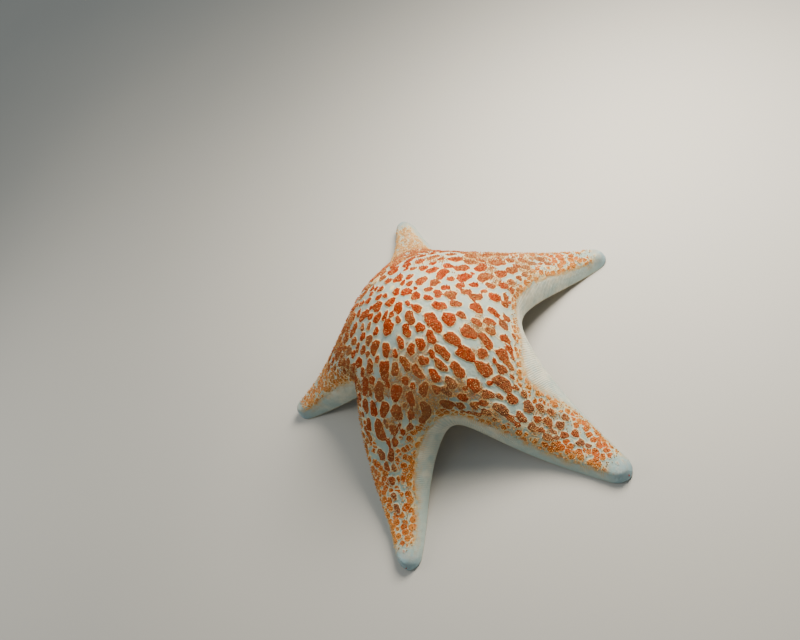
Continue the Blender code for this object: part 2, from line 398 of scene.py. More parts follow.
@dataclass
class Markings:
    """The star's blotches, its margin band and its fringe, as figures at each point of the skin."""

    form: StarForm
    first_place: float = 3.0 * MM
    vent_place: tuple[int, float, float] = (1, 2.5 * MM, 0.75 * MM)
    bare_vent: float = 2.9 * MM
    gap: float = 1.9 * MM
    least_gap: float = 0.36
    merging_gap: float = 0.15
    merging_share: float = 0.22
    row_wander: float = 0.35 * MM
    slope_stretch: float = 1.35
    widest: float = 2.9 * MM
    tone_at_middle: float = 0.95
    tone_fall: float = 12.0
    tone_spread: float = 0.22
    turn_spread: float = 0.18
    band_at_notch: float = 11.5 * MM
    band_at_tip: float = 5.6 * MM
    broadening: float = 0.85
    broad_bearing: float = math.radians(310.0)
    broad_spread: float = math.radians(9.0)
    narrowing: float = 0.70
    narrow_bearing: float = math.radians(295.0)
    narrow_spread: float = math.radians(4.5)
    mosaic_at_notch: float = 4.5 * MM
    mosaic_at_tip: float = 9.5 * MM
    mosaic_waves: float = 12.0 * MM
    bare_tip: float = 8.0 * MM
    fillers: int = 1400
    filler_rounds: int = 8
    haze_size: float = 15.0 * MM
    haze_bearing: float = math.radians(225.0)
    side_haze_bearing: float = math.radians(152.0)
    haze_level: float = 0.16
    front_haze: float = 0.30
    side_haze: float = 0.22
    haze_edge: float = 0.22
    squareness: float = 2.3
    rim_samples: int = 6000
    # Stretches of distance from the middle, each its start, or its end where it goes out, and its run.
    band_narrows: tuple[float, float] = (0.046, 0.040)
    creases_fade: tuple[float, float] = (0.046, 0.036)
    mosaic_widens: tuple[float, float] = (0.040, 0.042)
    bleach_starts: tuple[float, float] = (0.048, 0.022)
    haze_starts: tuple[float, float] = (0.014, 0.020)
    haze_ends: tuple[float, float] = (0.085, 0.030)
    front_haze_ends: tuple[float, float] = (0.060, 0.030)
    side_haze_starts: tuple[float, float] = (0.024, 0.014)
    side_haze_ends: tuple[float, float] = (0.056, 0.014)

    def __post_init__(self) -> None:
        """Samples the rim, and lays out the blotches."""
        self.random = np.random.default_rng(SEED)
        self.rim, self.rim_run, self.rim_band, self.rim_fold = self.sample_rim()
        self.rim_tree = KDTree(len(self.rim))
        for index, point in enumerate(self.rim):
            self.rim_tree.insert(point, index)
        self.rim_tree.balance()
        index, along, across = self.vent_place
        self.vent = np.array(self.form.seat(index, along, across, Side.BACK).translation)
        self.blotches: list[Blotch] = []
        self.laid = np.empty((0, 11))
        self.lay_rows()
        self.lay_fillers()

    def sample_rim(self) -> tuple[np.ndarray, np.ndarray, np.ndarray, np.ndarray]:
        """The rim as evenly spaced points.

        Returns:
            The points, the run along the rim to each, and the margin band's width and foldedness there.
        """
        angle = np.linspace(0.0, 2.0 * math.pi, self.rim_samples * 2)
        points = self.form.surface(angle, np.ones_like(angle), np.ones_like(angle)) + self.form.middle
        run = np.concatenate([[0.0], np.cumsum(np.linalg.norm(np.diff(points, axis=0), axis=1))])
        even = np.linspace(0.0, run[-1], self.rim_samples, endpoint=False)
        place = np.stack([np.interp(even, run, points[:, axis]) for axis in range(3)], -1)
        reach = np.hypot(*(place - self.form.middle).T[:2])
        outward = come_in(reach, self.band_narrows)
        band = self.band_at_notch + (self.band_at_tip - self.band_at_notch) * outward
        bearing = np.interp(even, run, angle)
        broad = self.broadening * np.exp(-(((bearing - self.broad_bearing) / self.broad_spread) ** 2))
        narrow = self.narrowing * np.exp(-(((bearing - self.narrow_bearing) / self.narrow_spread) ** 2))
        band = band * (1.0 + broad - narrow)
        fold = 1.0 - come_in(reach, self.creases_fade)
        self.rim_length = run[-1]
        return place, even, band, fold

    def inward(self, points: np.ndarray) -> tuple[np.ndarray, np.ndarray, np.ndarray]:
        """How points lie against the margin.

        Args:
            points: Points of the skin.

        Returns:
            How far each is in from the margin band's inner edge, the run along the rim to the nearest point
            of it, and how folded the band is there.
        """
        found = [self.rim_tree.find(point) for point in points]
        index = np.array([item[1] for item in found])
        distance = np.array([item[2] for item in found])
        return distance - self.rim_band[index], self.rim_run[index], self.rim_fold[index]

    def row_width(self, index: int, along: np.ndarray) -> np.ndarray:
        """The half width that the rows share: the arm's own, or the room between two arms near the middle.

        Args:
            index: Which arm.
            along: Distances along it.

        Returns:
            The half widths.
        """
        room = np.maximum(along, 1e-5) * math.tan(self.form.step / 2.0) * 0.97
        own = self.form.half_width(index, np.asarray(along))
        return 1.0 / (room**-4 + own**-4) ** 0.25

    def half_size(self, index: int, along: float) -> tuple[float, float]:
        """The usual size of a midline blotch.

        Args:
            index: Which arm.
            along: Its distance along the arm.

        Returns:
            Its half length and its half width.
        """
        share = along / self.form.reach_of(index)
        places, shares = [0.0, 0.08, 0.30, 0.62, 0.80, 0.92, 1.0], [0.74, 0.94, 1.0, 0.72, 0.54, 0.40, 0.3]
        width = np.interp(share, places, shares)
        places, shares = [0.0, 0.10, 0.30, 0.55, 0.75, 1.0], [1.3, 1.6, 1.65, 1.2, 1.10, 1.05]
        stretch = np.interp(share, places, shares)
        return float(width * stretch * self.widest), float(width * self.widest)

    def lay_rows(self) -> None:
        """Lays the rows of large blotches, the midlines first."""
        for row in Row:
            for index in range(len(self.form.arms)):
                along = self.first_place * self.random.uniform(0.7, 1.5)
                places = []
                while along < self.form.reach_of(index) - self.bare_tip:
                    long, wide = self.half_size(index, along)
                    size = row.size * self.random.uniform(0.80, 1.18)
                    long, wide = long * size * self.random.uniform(0.85, 1.25), wide * size
                    along += long / self.slope_stretch
                    off = row.share * float(self.row_width(index, along))
                    off += self.random.normal(0.0, self.row_wander)
                    places.append((along, off, long, wide, self.gap * self.least_gap))
                    merging = self.random.random() < self.merging_share
                    spread = self.merging_gap if merging else self.random.uniform(0.75, 1.3)
                    along += (long + self.gap * spread) / self.slope_stretch
                self.lay(index, np.array(places))

    def lay_fillers(self) -> None:
        """Fills what the rows leave with smaller blotches, the more closely the nearer the margin."""
        for fineness in np.linspace(1.0, 0.0, self.filler_rounds):
            for index in range(len(self.form.arms)):
                reach = self.form.reach_of(index)
                along = reach * self.random.uniform(0.0, 0.97, self.fillers)
                off = self.random.uniform(-1.0, 1.0, self.fillers) * self.row_width(index, along)
                room = self.inward(self.form.arm_points(index, along, off, Side.BACK))[0] / MM
                least = np.interp(room, [2.0, 4.0, 10.0], [0.75, 0.85, 1.10])
                most = np.interp(room, [2.0, 4.0, 10.0, 16.0], [1.15, 1.45, 2.00, 2.50])
                most *= np.interp(along / reach, [0.0, 0.15, 0.6, 1.0], [0.85, 1.0, 0.95, 0.60])
                wide = (least + (most - least) * fineness * self.random.uniform(0.8, 1.1, self.fillers)) * MM
                long = wide * self.random.uniform(1.0, np.interp(room, [2.0, 14.0], [1.35, 1.9]))
                gap = np.interp(room, [0.5, 5.0, 10.0, 16.0], [0.30, 0.40, 0.80, 0.95]) * MM
                gap *= self.random.uniform(0.45, 1.1, self.fillers)
                self.lay(index, np.stack([along, off, long, wide, gap], -1))

    def lay(self, index: int, places: np.ndarray) -> None:
        """Lays blotches on an arm, along their rows, where they keep off the margin band and off the others.

        Args:
            index: Which arm.
            places: For each, its distance along and off the midline, its half length and half width, and the
                least room to the next blotch.
        """
        along, off, long, wide, gap = places.T
        ahead = off * self.row_width(index, along + MM) / self.row_width(index, along)
        spot = self.form.arm_points(index, along, off, Side.BACK)
        before = self.form.arm_points(index, along + MM, ahead, Side.BACK) - spot
        beside = self.form.arm_points(index, along, off + 0.3 * MM, Side.BACK) - spot
        inward = self.inward(spot)[0]
        zone = self.mosaic(spot, np.arctan2(off, along) + index * self.form.step, inward)
        tip = self.form.reach_of(index) - np.hypot(along, off)
        usual_tone = self.tone_at_middle - self.tone_fall * along
        tone = np.clip(self.random.normal(usual_tone, self.tone_spread), 0.0, 1.0)
        turn = self.random.normal(0.0, self.turn_spread, len(along))
        lobes = self.random.uniform(0.0, 2.0 * math.pi, (len(along), 4))
        bare = np.linalg.norm(spot - self.vent, axis=1) < self.bare_vent + wide * 0.6
        clear = (inward > wide * 0.8 + 0.4 * MM) & (tip > self.bare_tip + wide) & (zone < wide * -0.4) & ~bare
        for item in np.flatnonzero(clear):
            forward = Vector(before[item]).normalized()
            outward = forward.cross(Vector(beside[item])).normalized()
            forward = Matrix.Rotation(turn[item], 3, outward) @ forward
            row = np.array([*spot[item], *forward, *outward.cross(forward), long[item], wide[item]])
            if self.is_clear(row, gap[item]):
                self.laid = np.vstack([self.laid, row])
                place, ahead_way, side_way = row[:9].reshape(3, 3)
                shape = (long[item], wide[item], tone[item], tuple(lobes[item]))
                self.blotches.append(Blotch(place, ahead_way, side_way, *shape))

    def is_clear(self, row: np.ndarray, gap: float) -> bool:
        """Whether a blotch keeps off those that are laid.

        Args:
            row: Its place, its two axes, its half length and its half width.
            gap: The least room between them.

        Returns:
            Whether it does.
        """
        apart = row[:3] - self.laid[:, :3]
        length = np.maximum(np.linalg.norm(apart, axis=1), 1e-9)
        way = apart / length[:, None]
        own = 1.0 / np.maximum(np.hypot(way @ row[3:6] / row[9], way @ row[6:9] / row[10]), 1e-9)
        ahead, beside = (way * self.laid[:, 3:6]).sum(1), (way * self.laid[:, 6:9]).sum(1)
        theirs = 1.0 / np.maximum(np.hypot(ahead / self.laid[:, 9], beside / self.laid[:, 10]), 1e-9)
        return not np.any(length < own + theirs + gap)

    def mosaic(self, points: np.ndarray, angle: np.ndarray, inward: np.ndarray) -> np.ndarray:
        """How far points are inside the zone by the margin where small cells lie close together.

        Args:
            points: Points of the skin.
            angle: Their bearings before the arms are swung.
            inward: How far each is in from the margin band.

        Returns:
            Distances, over 0 inside the zone.
        """
        reach = np.hypot(*(points - self.form.middle).T[:2])
        place = np.mod(angle, 2.0 * math.pi) / self.form.step
        nearest = np.round(place).astype(int) % len(self.form.arms)
        spread = np.array([arm.mosaic for arm in self.form.arms])[nearest]
        spread = 1.0 + (spread - 1.0) * smooth_step(2.0 - 4.0 * np.abs(place - np.round(place)))
        outward = come_in(reach, self.mosaic_widens)
        width = self.mosaic_at_notch + (self.mosaic_at_tip - self.mosaic_at_notch) * outward
        waves = np.array([noise.fractal(Vector(point) / self.mosaic_waves, 0.8, 2.0, 2) for point in points])
        return width * spread * (1.0 + 0.9 * waves) - inward

    def bleach(self, points: np.ndarray, angle: np.ndarray) -> np.ndarray:
        """How far the colours are bleached at points, from 0 to 1.

        Args:
            points: Points of the skin.
            angle: Their bearings before the arms are swung.

        Returns:
            The shares.
        """
        index = np.round(angle / self.form.step).astype(int) % len(self.form.arms)
        reach = np.hypot(*(points - self.form.middle).T[:2])
        return np.array([arm.bleach for arm in self.form.arms])[index] * come_in(reach, self.bleach_starts)

    def haze(self, points: np.ndarray, inward: np.ndarray) -> np.ndarray:
        """How far breathing skin spreads between the blotches, from 0 to 1.

        Args:
            points: Points of the skin.
            inward: How far each is in from the margin band.

        Returns:
            The shares.
        """
        waves = np.array([noise.fractal(Vector(point) / self.haze_size, 0.8, 2.0, 3) for point in points])
        x, y = (points - self.form.middle).T[:2]
        reach = np.hypot(x, y)
        flank = come_in(reach, self.haze_starts) * go_out(reach, self.haze_ends)
        bearing = np.arctan2(y, x)
        front = np.maximum(0.0, np.cos(bearing - self.haze_bearing))
        front = front * go_out(reach, self.front_haze_ends)
        side = np.maximum(0.0, np.cos(bearing - self.side_haze_bearing))
        side = side * come_in(reach, self.side_haze_starts) * go_out(reach, self.side_haze_ends)
        spread = (waves - self.haze_level + self.front_haze * front + self.side_haze * side) / self.haze_edge
        return smooth_step(spread) * flank * smooth_step(inward / (3.0 * MM))

    def paint(self, points: np.ndarray) -> tuple[np.ndarray, np.ndarray]:
        """How far points are inside the blotches, and the tone of the nearest.

        Args:
            points: Points of the back.

        Returns:
            Distances in millimetres, over 0 inside a blotch, and tones from 0 to 1.
        """
        depth, tone = np.full(len(points), -4.0), np.full(len(points), 0.5)
        tree = KDTree(len(points))
        for index, point in enumerate(points):
            tree.insert(point, index)
        tree.balance()
        for blotch in self.blotches:
            found = tree.find_range(Vector(blotch.place), blotch.half_length * 1.35 + 3.0 * MM)
            index = np.array([item[1] for item in found], dtype=int)
            if not len(index):
                continue
            away = points[index] - blotch.place
            length = np.linalg.norm(away, axis=1)
            u, v = away @ blotch.forward, away @ blotch.sideways
            flat = np.maximum(np.hypot(u, v), 1e-9)
            u, v = u / flat * length, v / flat * length
            turn = np.arctan2(v, u)
            first, second, third, fourth = blotch.lobes
            edge = 1.0 + 0.10 * np.sin(2 * turn + first) + 0.09 * np.sin(3 * turn + second)
            edge = edge + 0.05 * np.sin(5 * turn + third) + 0.035 * np.sin(8 * turn + fourth)
            long, wide = np.abs(u) / blotch.half_length, np.abs(v) / blotch.half_width
            ring = (long**self.squareness + wide**self.squareness) ** (1 / self.squareness)
            radius = length / np.maximum(ring, 1e-6) * edge
            inside = np.where(ring > 1e-6, (radius - length), blotch.half_width) / MM
            inside = inside * np.minimum(1.0, blotch.half_width * 1.3 / np.maximum(radius, 1e-6))
            nearer = inside > depth[index]
            depth[index] = np.where(nearer, inside, depth[index])
            tone[index] = np.where(nearer, blotch.tone, tone[index])
        return depth, tone


def linear(colour: str) -> tuple[float, float, float, float]:
    """Turns an sRGB hex colour to linear.

    Args:
        colour: Six hex digits after a hash.

    Returns:
        Linear red, green and blue, and an alpha of 1.
    """
    channels = [int(colour[i : i + 2], 16) / 255.0 for i in (1, 3, 5)]
    bright = [c / 12.92 if c <= 0.04045 else ((c + 0.055) / 1.055) ** 2.4 for c in channels]
    return (bright[0], bright[1], bright[2], 1.0)


def grain(size: float) -> float:
    """The scale of a pattern whose grains are some millimetres across."""
    return 1.0 / (size * MM)


CELL_INPUTS = ("Vector", "Scale", "Randomness")
RANGE_INPUTS = ("Value", "From Min", "From Max", "To Min", "To Max")


class Node(Enum):
    """The nodes in use: each one's type, its inputs in their order, its result and its settings."""

    # What a material or a planting starts from.
    PLACE = ("ShaderNodeTexCoord", (), "Object", {})
    FIGURE = ("ShaderNodeAttribute", (), "Fac", {})
    LAID_MAP = ("ShaderNodeUVMap", (), "UV", {})
    BED = ("NodeGroupInput", (), 0, {})
    POSITION = ("GeometryNodeInputPosition", (), 0, {})
    NAMED = ("GeometryNodeInputNamedAttribute", ("Name",), "Attribute", {"data_type": "FLOAT"})
    SHAPE = ("GeometryNodeObjectInfo", ("Object",), "Geometry", {})

    # Patterns.
    CLOUDS = ("ShaderNodeTexNoise", ("Vector", "Scale", "Detail"), "Fac", {})
    CELLS = ("ShaderNodeTexVoronoi", CELL_INPUTS, "Distance", {"feature": "F1"})
    WALLS = ("ShaderNodeTexVoronoi", CELL_INPUTS, "Distance", {"feature": "DISTANCE_TO_EDGE"})
    WAVES = (
        "ShaderNodeTexWave",
        ("Vector", "Scale", "Distortion", "Detail", "Detail Scale"),
        "Fac",
        {"wave_type": "BANDS", "bands_direction": "X", "wave_profile": "SIN"},
    )
    LUCK = ("FunctionNodeRandomValue", ("Seed", 2, 3), 1, {"data_type": "FLOAT"})
    LUCK_ON_AXES = ("FunctionNodeRandomValue", ("Seed", 0, 1), 0, {"data_type": "FLOAT_VECTOR"})

    # Sums.
    ADD = ("ShaderNodeMath", (0, 1), 0, {"operation": "ADD"})
    SUBTRACT = ("ShaderNodeMath", (0, 1), 0, {"operation": "SUBTRACT"})
    MULTIPLY = ("ShaderNodeMath", (0, 1), 0, {"operation": "MULTIPLY"})
    MULTIPLY_ADD = ("ShaderNodeMath", (0, 1, 2), 0, {"operation": "MULTIPLY_ADD"})
    POWER = ("ShaderNodeMath", (0, 1), 0, {"operation": "POWER"})
    LESSER = ("ShaderNodeMath", (0, 1), 0, {"operation": "MINIMUM"})
    GREATER = ("ShaderNodeMath", (0, 1), 0, {"operation": "MAXIMUM"})
    RAMP = ("ShaderNodeMapRange", RANGE_INPUTS, "Result", {"interpolation_type": "SMOOTHSTEP"})
    SLOPE = ("ShaderNodeMapRange", RANGE_INPUTS, "Result", {"interpolation_type": "LINEAR"})
    BELOW = ("FunctionNodeCompare", (0, 1), 0, {"operation": "LESS_THAN"})
    UNLIKE = ("FunctionNodeCompare", (2, 3), 0, {"data_type": "INT", "operation": "NOT_EQUAL"})
    EITHER = ("FunctionNodeBooleanMath", (0, 1), 0, {"operation": "OR"})

    # A material's colour and surface: a share, and the colours under and over it.
    BLEND = ("ShaderNodeMix", (0, 6, 7), 2, {"data_type": "RGBA"})
    RELIEF = ("ShaderNodeBump", ("Height", "Distance", "Strength"), "Normal", {})
    SHADER = ("ShaderNodeBsdfPrincipled", (), "BSDF", {})
    SURFACE = ("ShaderNodeOutputMaterial", ("Surface",), None, {})

    # The steps of a planting.
    SCATTER = (
        "GeometryNodeDistributePointsOnFaces",
        ("Mesh", "Distance Min", "Density Max", "Density Factor", "Seed"),
        "Points",
        {"distribute_method": "POISSON"},
    )
    WEED = ("GeometryNodeDeleteGeometry", ("Geometry", "Selection"), 0, {})
    MARK = ("GeometryNodeStoreNamedAttribute", ("Geometry", "Name", "Value"), 0, {"data_type": "FLOAT"})
    LEAN = ("FunctionNodeEulerToRotation", ("Euler",), 0, {})
    TURN = ("FunctionNodeRotateRotation", ("Rotation", "Rotate By"), 0, {"rotation_space": "LOCAL"})
    PLANT = ("GeometryNodeInstanceOnPoints", ("Points", "Instance", "Rotation", "Scale"), 0, {})
    REAL = ("GeometryNodeRealizeInstances", ("Geometry",), 0, {})
    HARVEST = ("NodeGroupOutput", (0,), None, {})

    def __init__(
        self, kind: str, names: tuple[str | int, ...], result: str | int | None, settings: dict[str, str]
    ) -> None:
        """Keeps what the row says.

        Args:
            kind: The node's type.
            names: The names or numbers of its inputs, in the order in which they are given.
            result: The name or number of its result, if it has one.
            settings: Its own settings.
        """
        self.kind = kind
        self.names = names
        self.result = result
        self.settings = settings


@dataclass
class Recipe:
    """A node tree in the making."""

    tree: bpy.types.NodeTree

    def add(self, node: Node, *values: Any, named: dict[str, Any] | None = None, **settings: Any) -> Any:
        """Adds a node with its settings and links.

        Args:
            node: Which node.
            values: For its inputs in order, a socket to link, a value to set, or a hex colour.
            named: The same, by the inputs' names.
            settings: More settings of the node's own.

        Returns:
            The node's result, if it has one.
        """
        made = self.tree.nodes.new(node.kind)
        for name, value in (node.settings | settings).items():
            setattr(made, name, value)
        for name, value in (dict(zip(node.names, values, strict=False)) | (named or {})).items():
            if isinstance(value, bpy.types.NodeSocket):
                self.tree.links.new(value, made.inputs[name])
            else:
                is_colour = isinstance(value, str) and value.startswith("#")
                made.inputs[name].default_value = linear(value) if is_colour else value
        return None if node.result is None else made.outputs[node.result]


class Palette(Recipe):
    """A material in the making."""

    def __init__(self, name: str) -> None:
        """Starts a material.

        Args:
            name: Its name.
        """
        self.material = bpy.data.materials.new(name)
        self.material.use_nodes = True
        super().__init__(self.material.node_tree)
        self.tree.nodes.clear()
        self.place = self.add(Node.PLACE)

    def product(self, *shares: Any) -> Any:
        """Several shares multiplied together."""
        return reduce(partial(self.add, Node.MULTIPLY), shares)

    def finish(self, surface: dict[str, Any], height: Any = None, distance: float = MM) -> bpy.types.Material:
        """Ends the tree with its shader.

        Args:
            surface: The shader's inputs.
            height: The relief's height, as a share of its distance.
            distance: The relief's distance.

        Returns:
            The material.
        """
        if height is not None:
            surface = surface | {"Normal": self.add(Node.RELIEF, height, distance, 1.0)}
        self.add(Node.SURFACE, self.add(Node.SHADER, named=surface))
        return self.material


class SkinPalette(Palette):
    """The skin's material in the making, with the figures and shares that its steps read."""

    names = ("blotch", "tone", "inward", "fold", "mosaic", "tip", "outward", "bleach", "haze", "vent", "back")

    def __init__(self, name: str, mosaic_size: float, mosaic_line: float, tube_size: float) -> None:
        """Reads the skin's figures, and lays out its blotches, its cells and its tubes.

        Args:
            name: The material's name.
            mosaic_size: The size of the cells by the margin, in millimetres.
            mosaic_line: Half the width of the lines between them.
            tube_size: The size of the grains that the breathing tubes make.
        """
        super().__init__(name)
        add, place = self.add, self.place
        self.figures = {name: add(Node.FIGURE, attribute_name=name) for name in self.names}
        mosaic = self.figures["mosaic"]

        # How far inside a blotch, or inside a cell of the mosaic by the margin, in millimetres.
        self.ragged = add(Node.MULTIPLY_ADD, add(Node.CLOUDS, place, grain(1.6), 3.0), 0.9, -0.45)
        spot = add(Node.ADD, self.figures["blotch"], self.ragged)
        net = (place, grain(mosaic_size), MOSAIC_RANDOMNESS)
        cell = add(Node.MULTIPLY_ADD, add(Node.WALLS, *net), mosaic_size, -mosaic_line)
        from_middle = add(Node.CELLS, *net)
        self.cell_luck = from_middle.node.outputs["Color"]
        cell = add(Node.LESSER, cell, add(Node.MULTIPLY_ADD, from_middle, -mosaic_size, 1.50))
        uneven = add(Node.CLOUDS, place, grain(mosaic_size / 3.0), 2.0)
        cell = add(Node.ADD, cell, add(Node.MULTIPLY_ADD, uneven, 0.8, -0.40))
        cell = add(Node.ADD, cell, add(Node.RAMP, mosaic, 0.5, 5.0, 0.0, 0.22))
        cell = add(Node.LESSER, cell, add(Node.MULTIPLY, mosaic, 0.5))
        cell = add(Node.LESSER, cell, add(Node.SUBTRACT, -0.42, spot))
        wander = add(Node.MULTIPLY_ADD, add(Node.CLOUDS, place, grain(2.6), 3.0), 4.0, -2.0)
        self.inward = add(Node.ADD, self.figures["inward"], wander)
        cell = add(Node.LESSER, cell, add(Node.MULTIPLY, self.inward, 0.6))
        cell = add(Node.MULTIPLY_ADD, self.figures["tip"], -1.5, cell)
        self.depth = add(Node.GREATER, spot, cell)
        self.is_cell = add(Node.RAMP, add(Node.SUBTRACT, cell, spot), -0.05, 0.05)

        # Shares of the blotches, of their rims, and of the outer part where the cells are.
        self.feather = add(Node.RAMP, self.inward, -0.4, 2.0)
        self.inside = self.product(add(Node.RAMP, self.depth, -0.08, 0.10), self.feather)
        self.outer = add(Node.RAMP, self.inward, 7.5, 1.5)

        # Shares of the tubes, of those that catch the light, and of the haze between the blotches.
        self.tube = add(Node.RAMP, add(Node.CELLS, place, grain(tube_size), 0.9), 0.62, 0.12)
        clouds = add(Node.RAMP, add(Node.CLOUDS, place, grain(1.4), 2.0), 0.36, 0.64)
        self.lit = self.product(self.tube, clouds)
        clouds = add(Node.RAMP, add(Node.CLOUDS, place, grain(2.0), 3.0), 0.30, 0.52)
        self.haze = self.product(self.figures["haze"], clouds)

        # Creases across the margin band, deepest in the notches.
        run = add(Node.LAID_MAP, uv_map="MarginRun")
        self.sharp = add(Node.POWER, add(Node.WAVES, run, 1.0, 2.2, 2.0, 0.7), 2.0)
        patchy = add(Node.RAMP, add(Node.CLOUDS, place, grain(5.5), 2.0), 0.34, 0.62, 0.30, 1.0)
        on_band = add(Node.RAMP, self.figures["inward"], 1.5, -1.5)
        self.crease = self.product(self.sharp, on_band, self.figures["fold"], patchy, self.figures["back"])


@dataclass(frozen=True)
class LeatherySkinFinish:
    """Sea star skin: a limy net of plates under a thick wet hide, smooth as oiled leather.

    The hide is pale grey-blue and has a broad soft sheen. Breathing skin shows through it in brick-orange
    blotches, which are grainy, redder round their edges, and rimmed with a fine cream line.
    """

    name: str = "wet_leathery_sea_star_skin"
    hide: str = "#abb8aa"
    hide_cool: str = "#9bb0ab"
    hide_warm: str = "#c0c1a6"
    # The arms' hide: cooler, which is its own tint, and darker, which is painted shade for the light falling
    # off towards the arms' ends.
    hide_arm_cool_and_painted_shade: str = "#8da7a0"
    cream: str = "#e8d193"
    red: str = "#8a2b0e"
    dark_rust: str = "#7c3a1c"
    rust: str = "#80523a"
    brick: str = "#984f26"
    red_orange: str = "#a53c0a"
    grain_light: str = "#c27f42"
    ochre: str = "#b57c3a"
    haze_tan: str = "#b08d5c"
    fringe_ochre: str = "#c39a58"
    mosaic_orange: str = "#ab5219"
    mosaic_ochre: str = "#bf7a35"
    straw: str = "#e2cf98"
    band: str = "#a5b7b1"
    band_pale: str = "#d0cfbc"
    tip: str = "#86a5b0"
    oral: str = "#cbbf9f"
    oral_shade: str = "#a99a79"
    tube_size: float = 0.62
    mosaic_size: float = 2.9
    mosaic_line: float = 0.22
    plate_size: float = 2.8
    crease_spacing: float = 0.9
    roughness: float = 0.52

    def material(self) -> bpy.types.Material:
        """The skin's material, from its attributes and its own place.

        Returns:
            The material.
        """
        p = SkinPalette(self.name, self.mosaic_size, self.mosaic_line, self.tube_size)
        add, place = p.add, p.place
        colour = add(Node.BLEND, p.inside, self.hide_colour(p), self.flesh_colour(p))
        colour = add(Node.BLEND, add(Node.RAMP, p.inward, 0.0, -0.8), colour, self.band_colour(p))
        tip = p.product(add(Node.RAMP, p.figures["tip"], 0.15, 1.0), 0.80)
        colour = add(Node.BLEND, tip, colour, self.tip)
        vent = add(Node.RAMP, add(Node.ADD, p.figures["vent"], p.ragged), 1.9, 0.9)
        colour = add(Node.BLEND, vent, colour, self.straw)

        # The oral side: cream, with rows of small plates.
        plate = add(Node.CELLS, place, grain(self.plate_size), 0.65)
        oral = add(Node.BLEND, add(Node.RAMP, plate, 0.25, 0.62), self.oral, self.oral_shade)
        colour = add(Node.BLEND, p.figures["back"], oral, colour)

        wet = add(Node.MULTIPLY_ADD, add(Node.CLOUDS, place, grain(2.0), 2.0), 0.16, self.roughness - 0.08)
        surface = {
            "Base Color": colour,
            "Roughness": add(Node.MULTIPLY_ADD, p.inside, 0.14, wet),
            "IOR": 1.40,
            "Specular IOR Level": 0.22,
            "Subsurface Weight": 0.04,
            "Subsurface Radius": (1.0, 0.5, 0.3),
            "Subsurface Scale": 1.0 * MM,
        }
        return p.finish(surface, self.height(p, plate))

    def hide_colour(self, p: SkinPalette) -> Any:
        """The hide between the blotches: clouded grey-blue and greenish cream, with their cream rims.

        Args:
            p: The skin's palette.

        Returns:
            The colour.
        """
        add, place, outward = p.add, p.place, p.figures["outward"]
        cool = add(Node.RAMP, add(Node.CLOUDS, place, grain(11.0), 2.0), 0.38, 0.62)
        colour = add(Node.BLEND, cool, self.hide, self.hide_cool)
        warm = add(Node.RAMP, add(Node.CLOUDS, place, grain(4.0), 3.0), 0.48, 0.72, 0.0, 0.75)
        colour = add(Node.BLEND, warm, colour, self.hide_warm)
        # Out along the arms the hide turns cooler, its own tint, and darker, which is painted shade for the
        # light falling off outwards.
        colour = add(Node.BLEND, p.product(outward, 0.80), colour, self.hide_arm_cool_and_painted_shade)

        # Breathing skin spreads between the blotches here and there, and along the margin.
        hazy = add(Node.BLEND, p.lit, self.haze_tan, self.straw)
        colour = add(Node.BLEND, p.product(p.haze, 0.85), colour, hazy)
        broken = add(Node.RAMP, add(Node.CLOUDS, place, grain(3.0), 3.0), 0.34, 0.60)
        fringe = p.product(add(Node.RAMP, p.inward, 5.0, 0.5), broken, 0.70)
        colour = add(Node.BLEND, fringe, colour, add(Node.BLEND, p.lit, self.fringe_ochre, self.straw))
        fading = add(Node.RAMP, outward, 0.0, 1.0, 0.80, 0.48)
        rim = p.product(add(Node.RAMP, p.depth, -0.46, -0.22), p.feather, fading)
        colour = add(Node.BLEND, rim, colour, self.cream)
        return add(Node.BLEND, p.product(p.figures["bleach"], 0.5), colour, self.band_pale)

    def flesh_colour(self, p: SkinPalette) -> Any:
        """The blotches: rust to red-orange, ochre towards the margin, and redder at their own edges.

        Args:
            p: The skin's palette.

        Returns:
            The colour.
        """
        add, tone = p.add, p.figures["tone"]
        colour = add(Node.BLEND, add(Node.RAMP, tone, 0.10, 0.45), self.rust, self.brick)
        colour = add(Node.BLEND, add(Node.RAMP, tone, 0.50, 0.90), colour, self.red_orange)
        # Rustier out along the arms: partly the cells' own browner colour, partly painted shade for the light
        # falling off outwards.
        colour = add(Node.BLEND, p.product(p.figures["outward"], 0.28), colour, self.rust)
        dusty = add(Node.RAMP, add(Node.CLOUDS, p.place, grain(3.5), 2.0), 0.56, 0.74, 0.0, 0.7)
        colour = add(Node.BLEND, dusty, colour, self.ochre)
        colour = add(Node.BLEND, p.product(p.outer, 0.45), colour, self.mosaic_orange)
        edge = p.product(add(Node.RAMP, p.depth, 0.62, 0.15), add(Node.MULTIPLY_ADD, tone, 0.5, 0.3))
        colour = add(Node.BLEND, edge, colour, add(Node.BLEND, tone, self.dark_rust, self.red))
        ripe = add(Node.MULTIPLY_ADD, p.cell_luck, 0.7, add(Node.MULTIPLY_ADD, p.outer, 0.6, -0.40))
        cells = add(Node.BLEND, add(Node.RAMP, ripe, 0.0, 0.6), self.mosaic_orange, self.mosaic_ochre)
        colour = add(Node.BLEND, p.is_cell, colour, cells)
        colour = add(Node.BLEND, p.product(p.haze, 0.30), colour, self.haze_tan)
        colour = add(Node.BLEND, p.product(p.lit, 0.40), colour, self.grain_light)
        return add(Node.BLEND, p.product(p.figures["bleach"], 0.72), colour, self.straw)

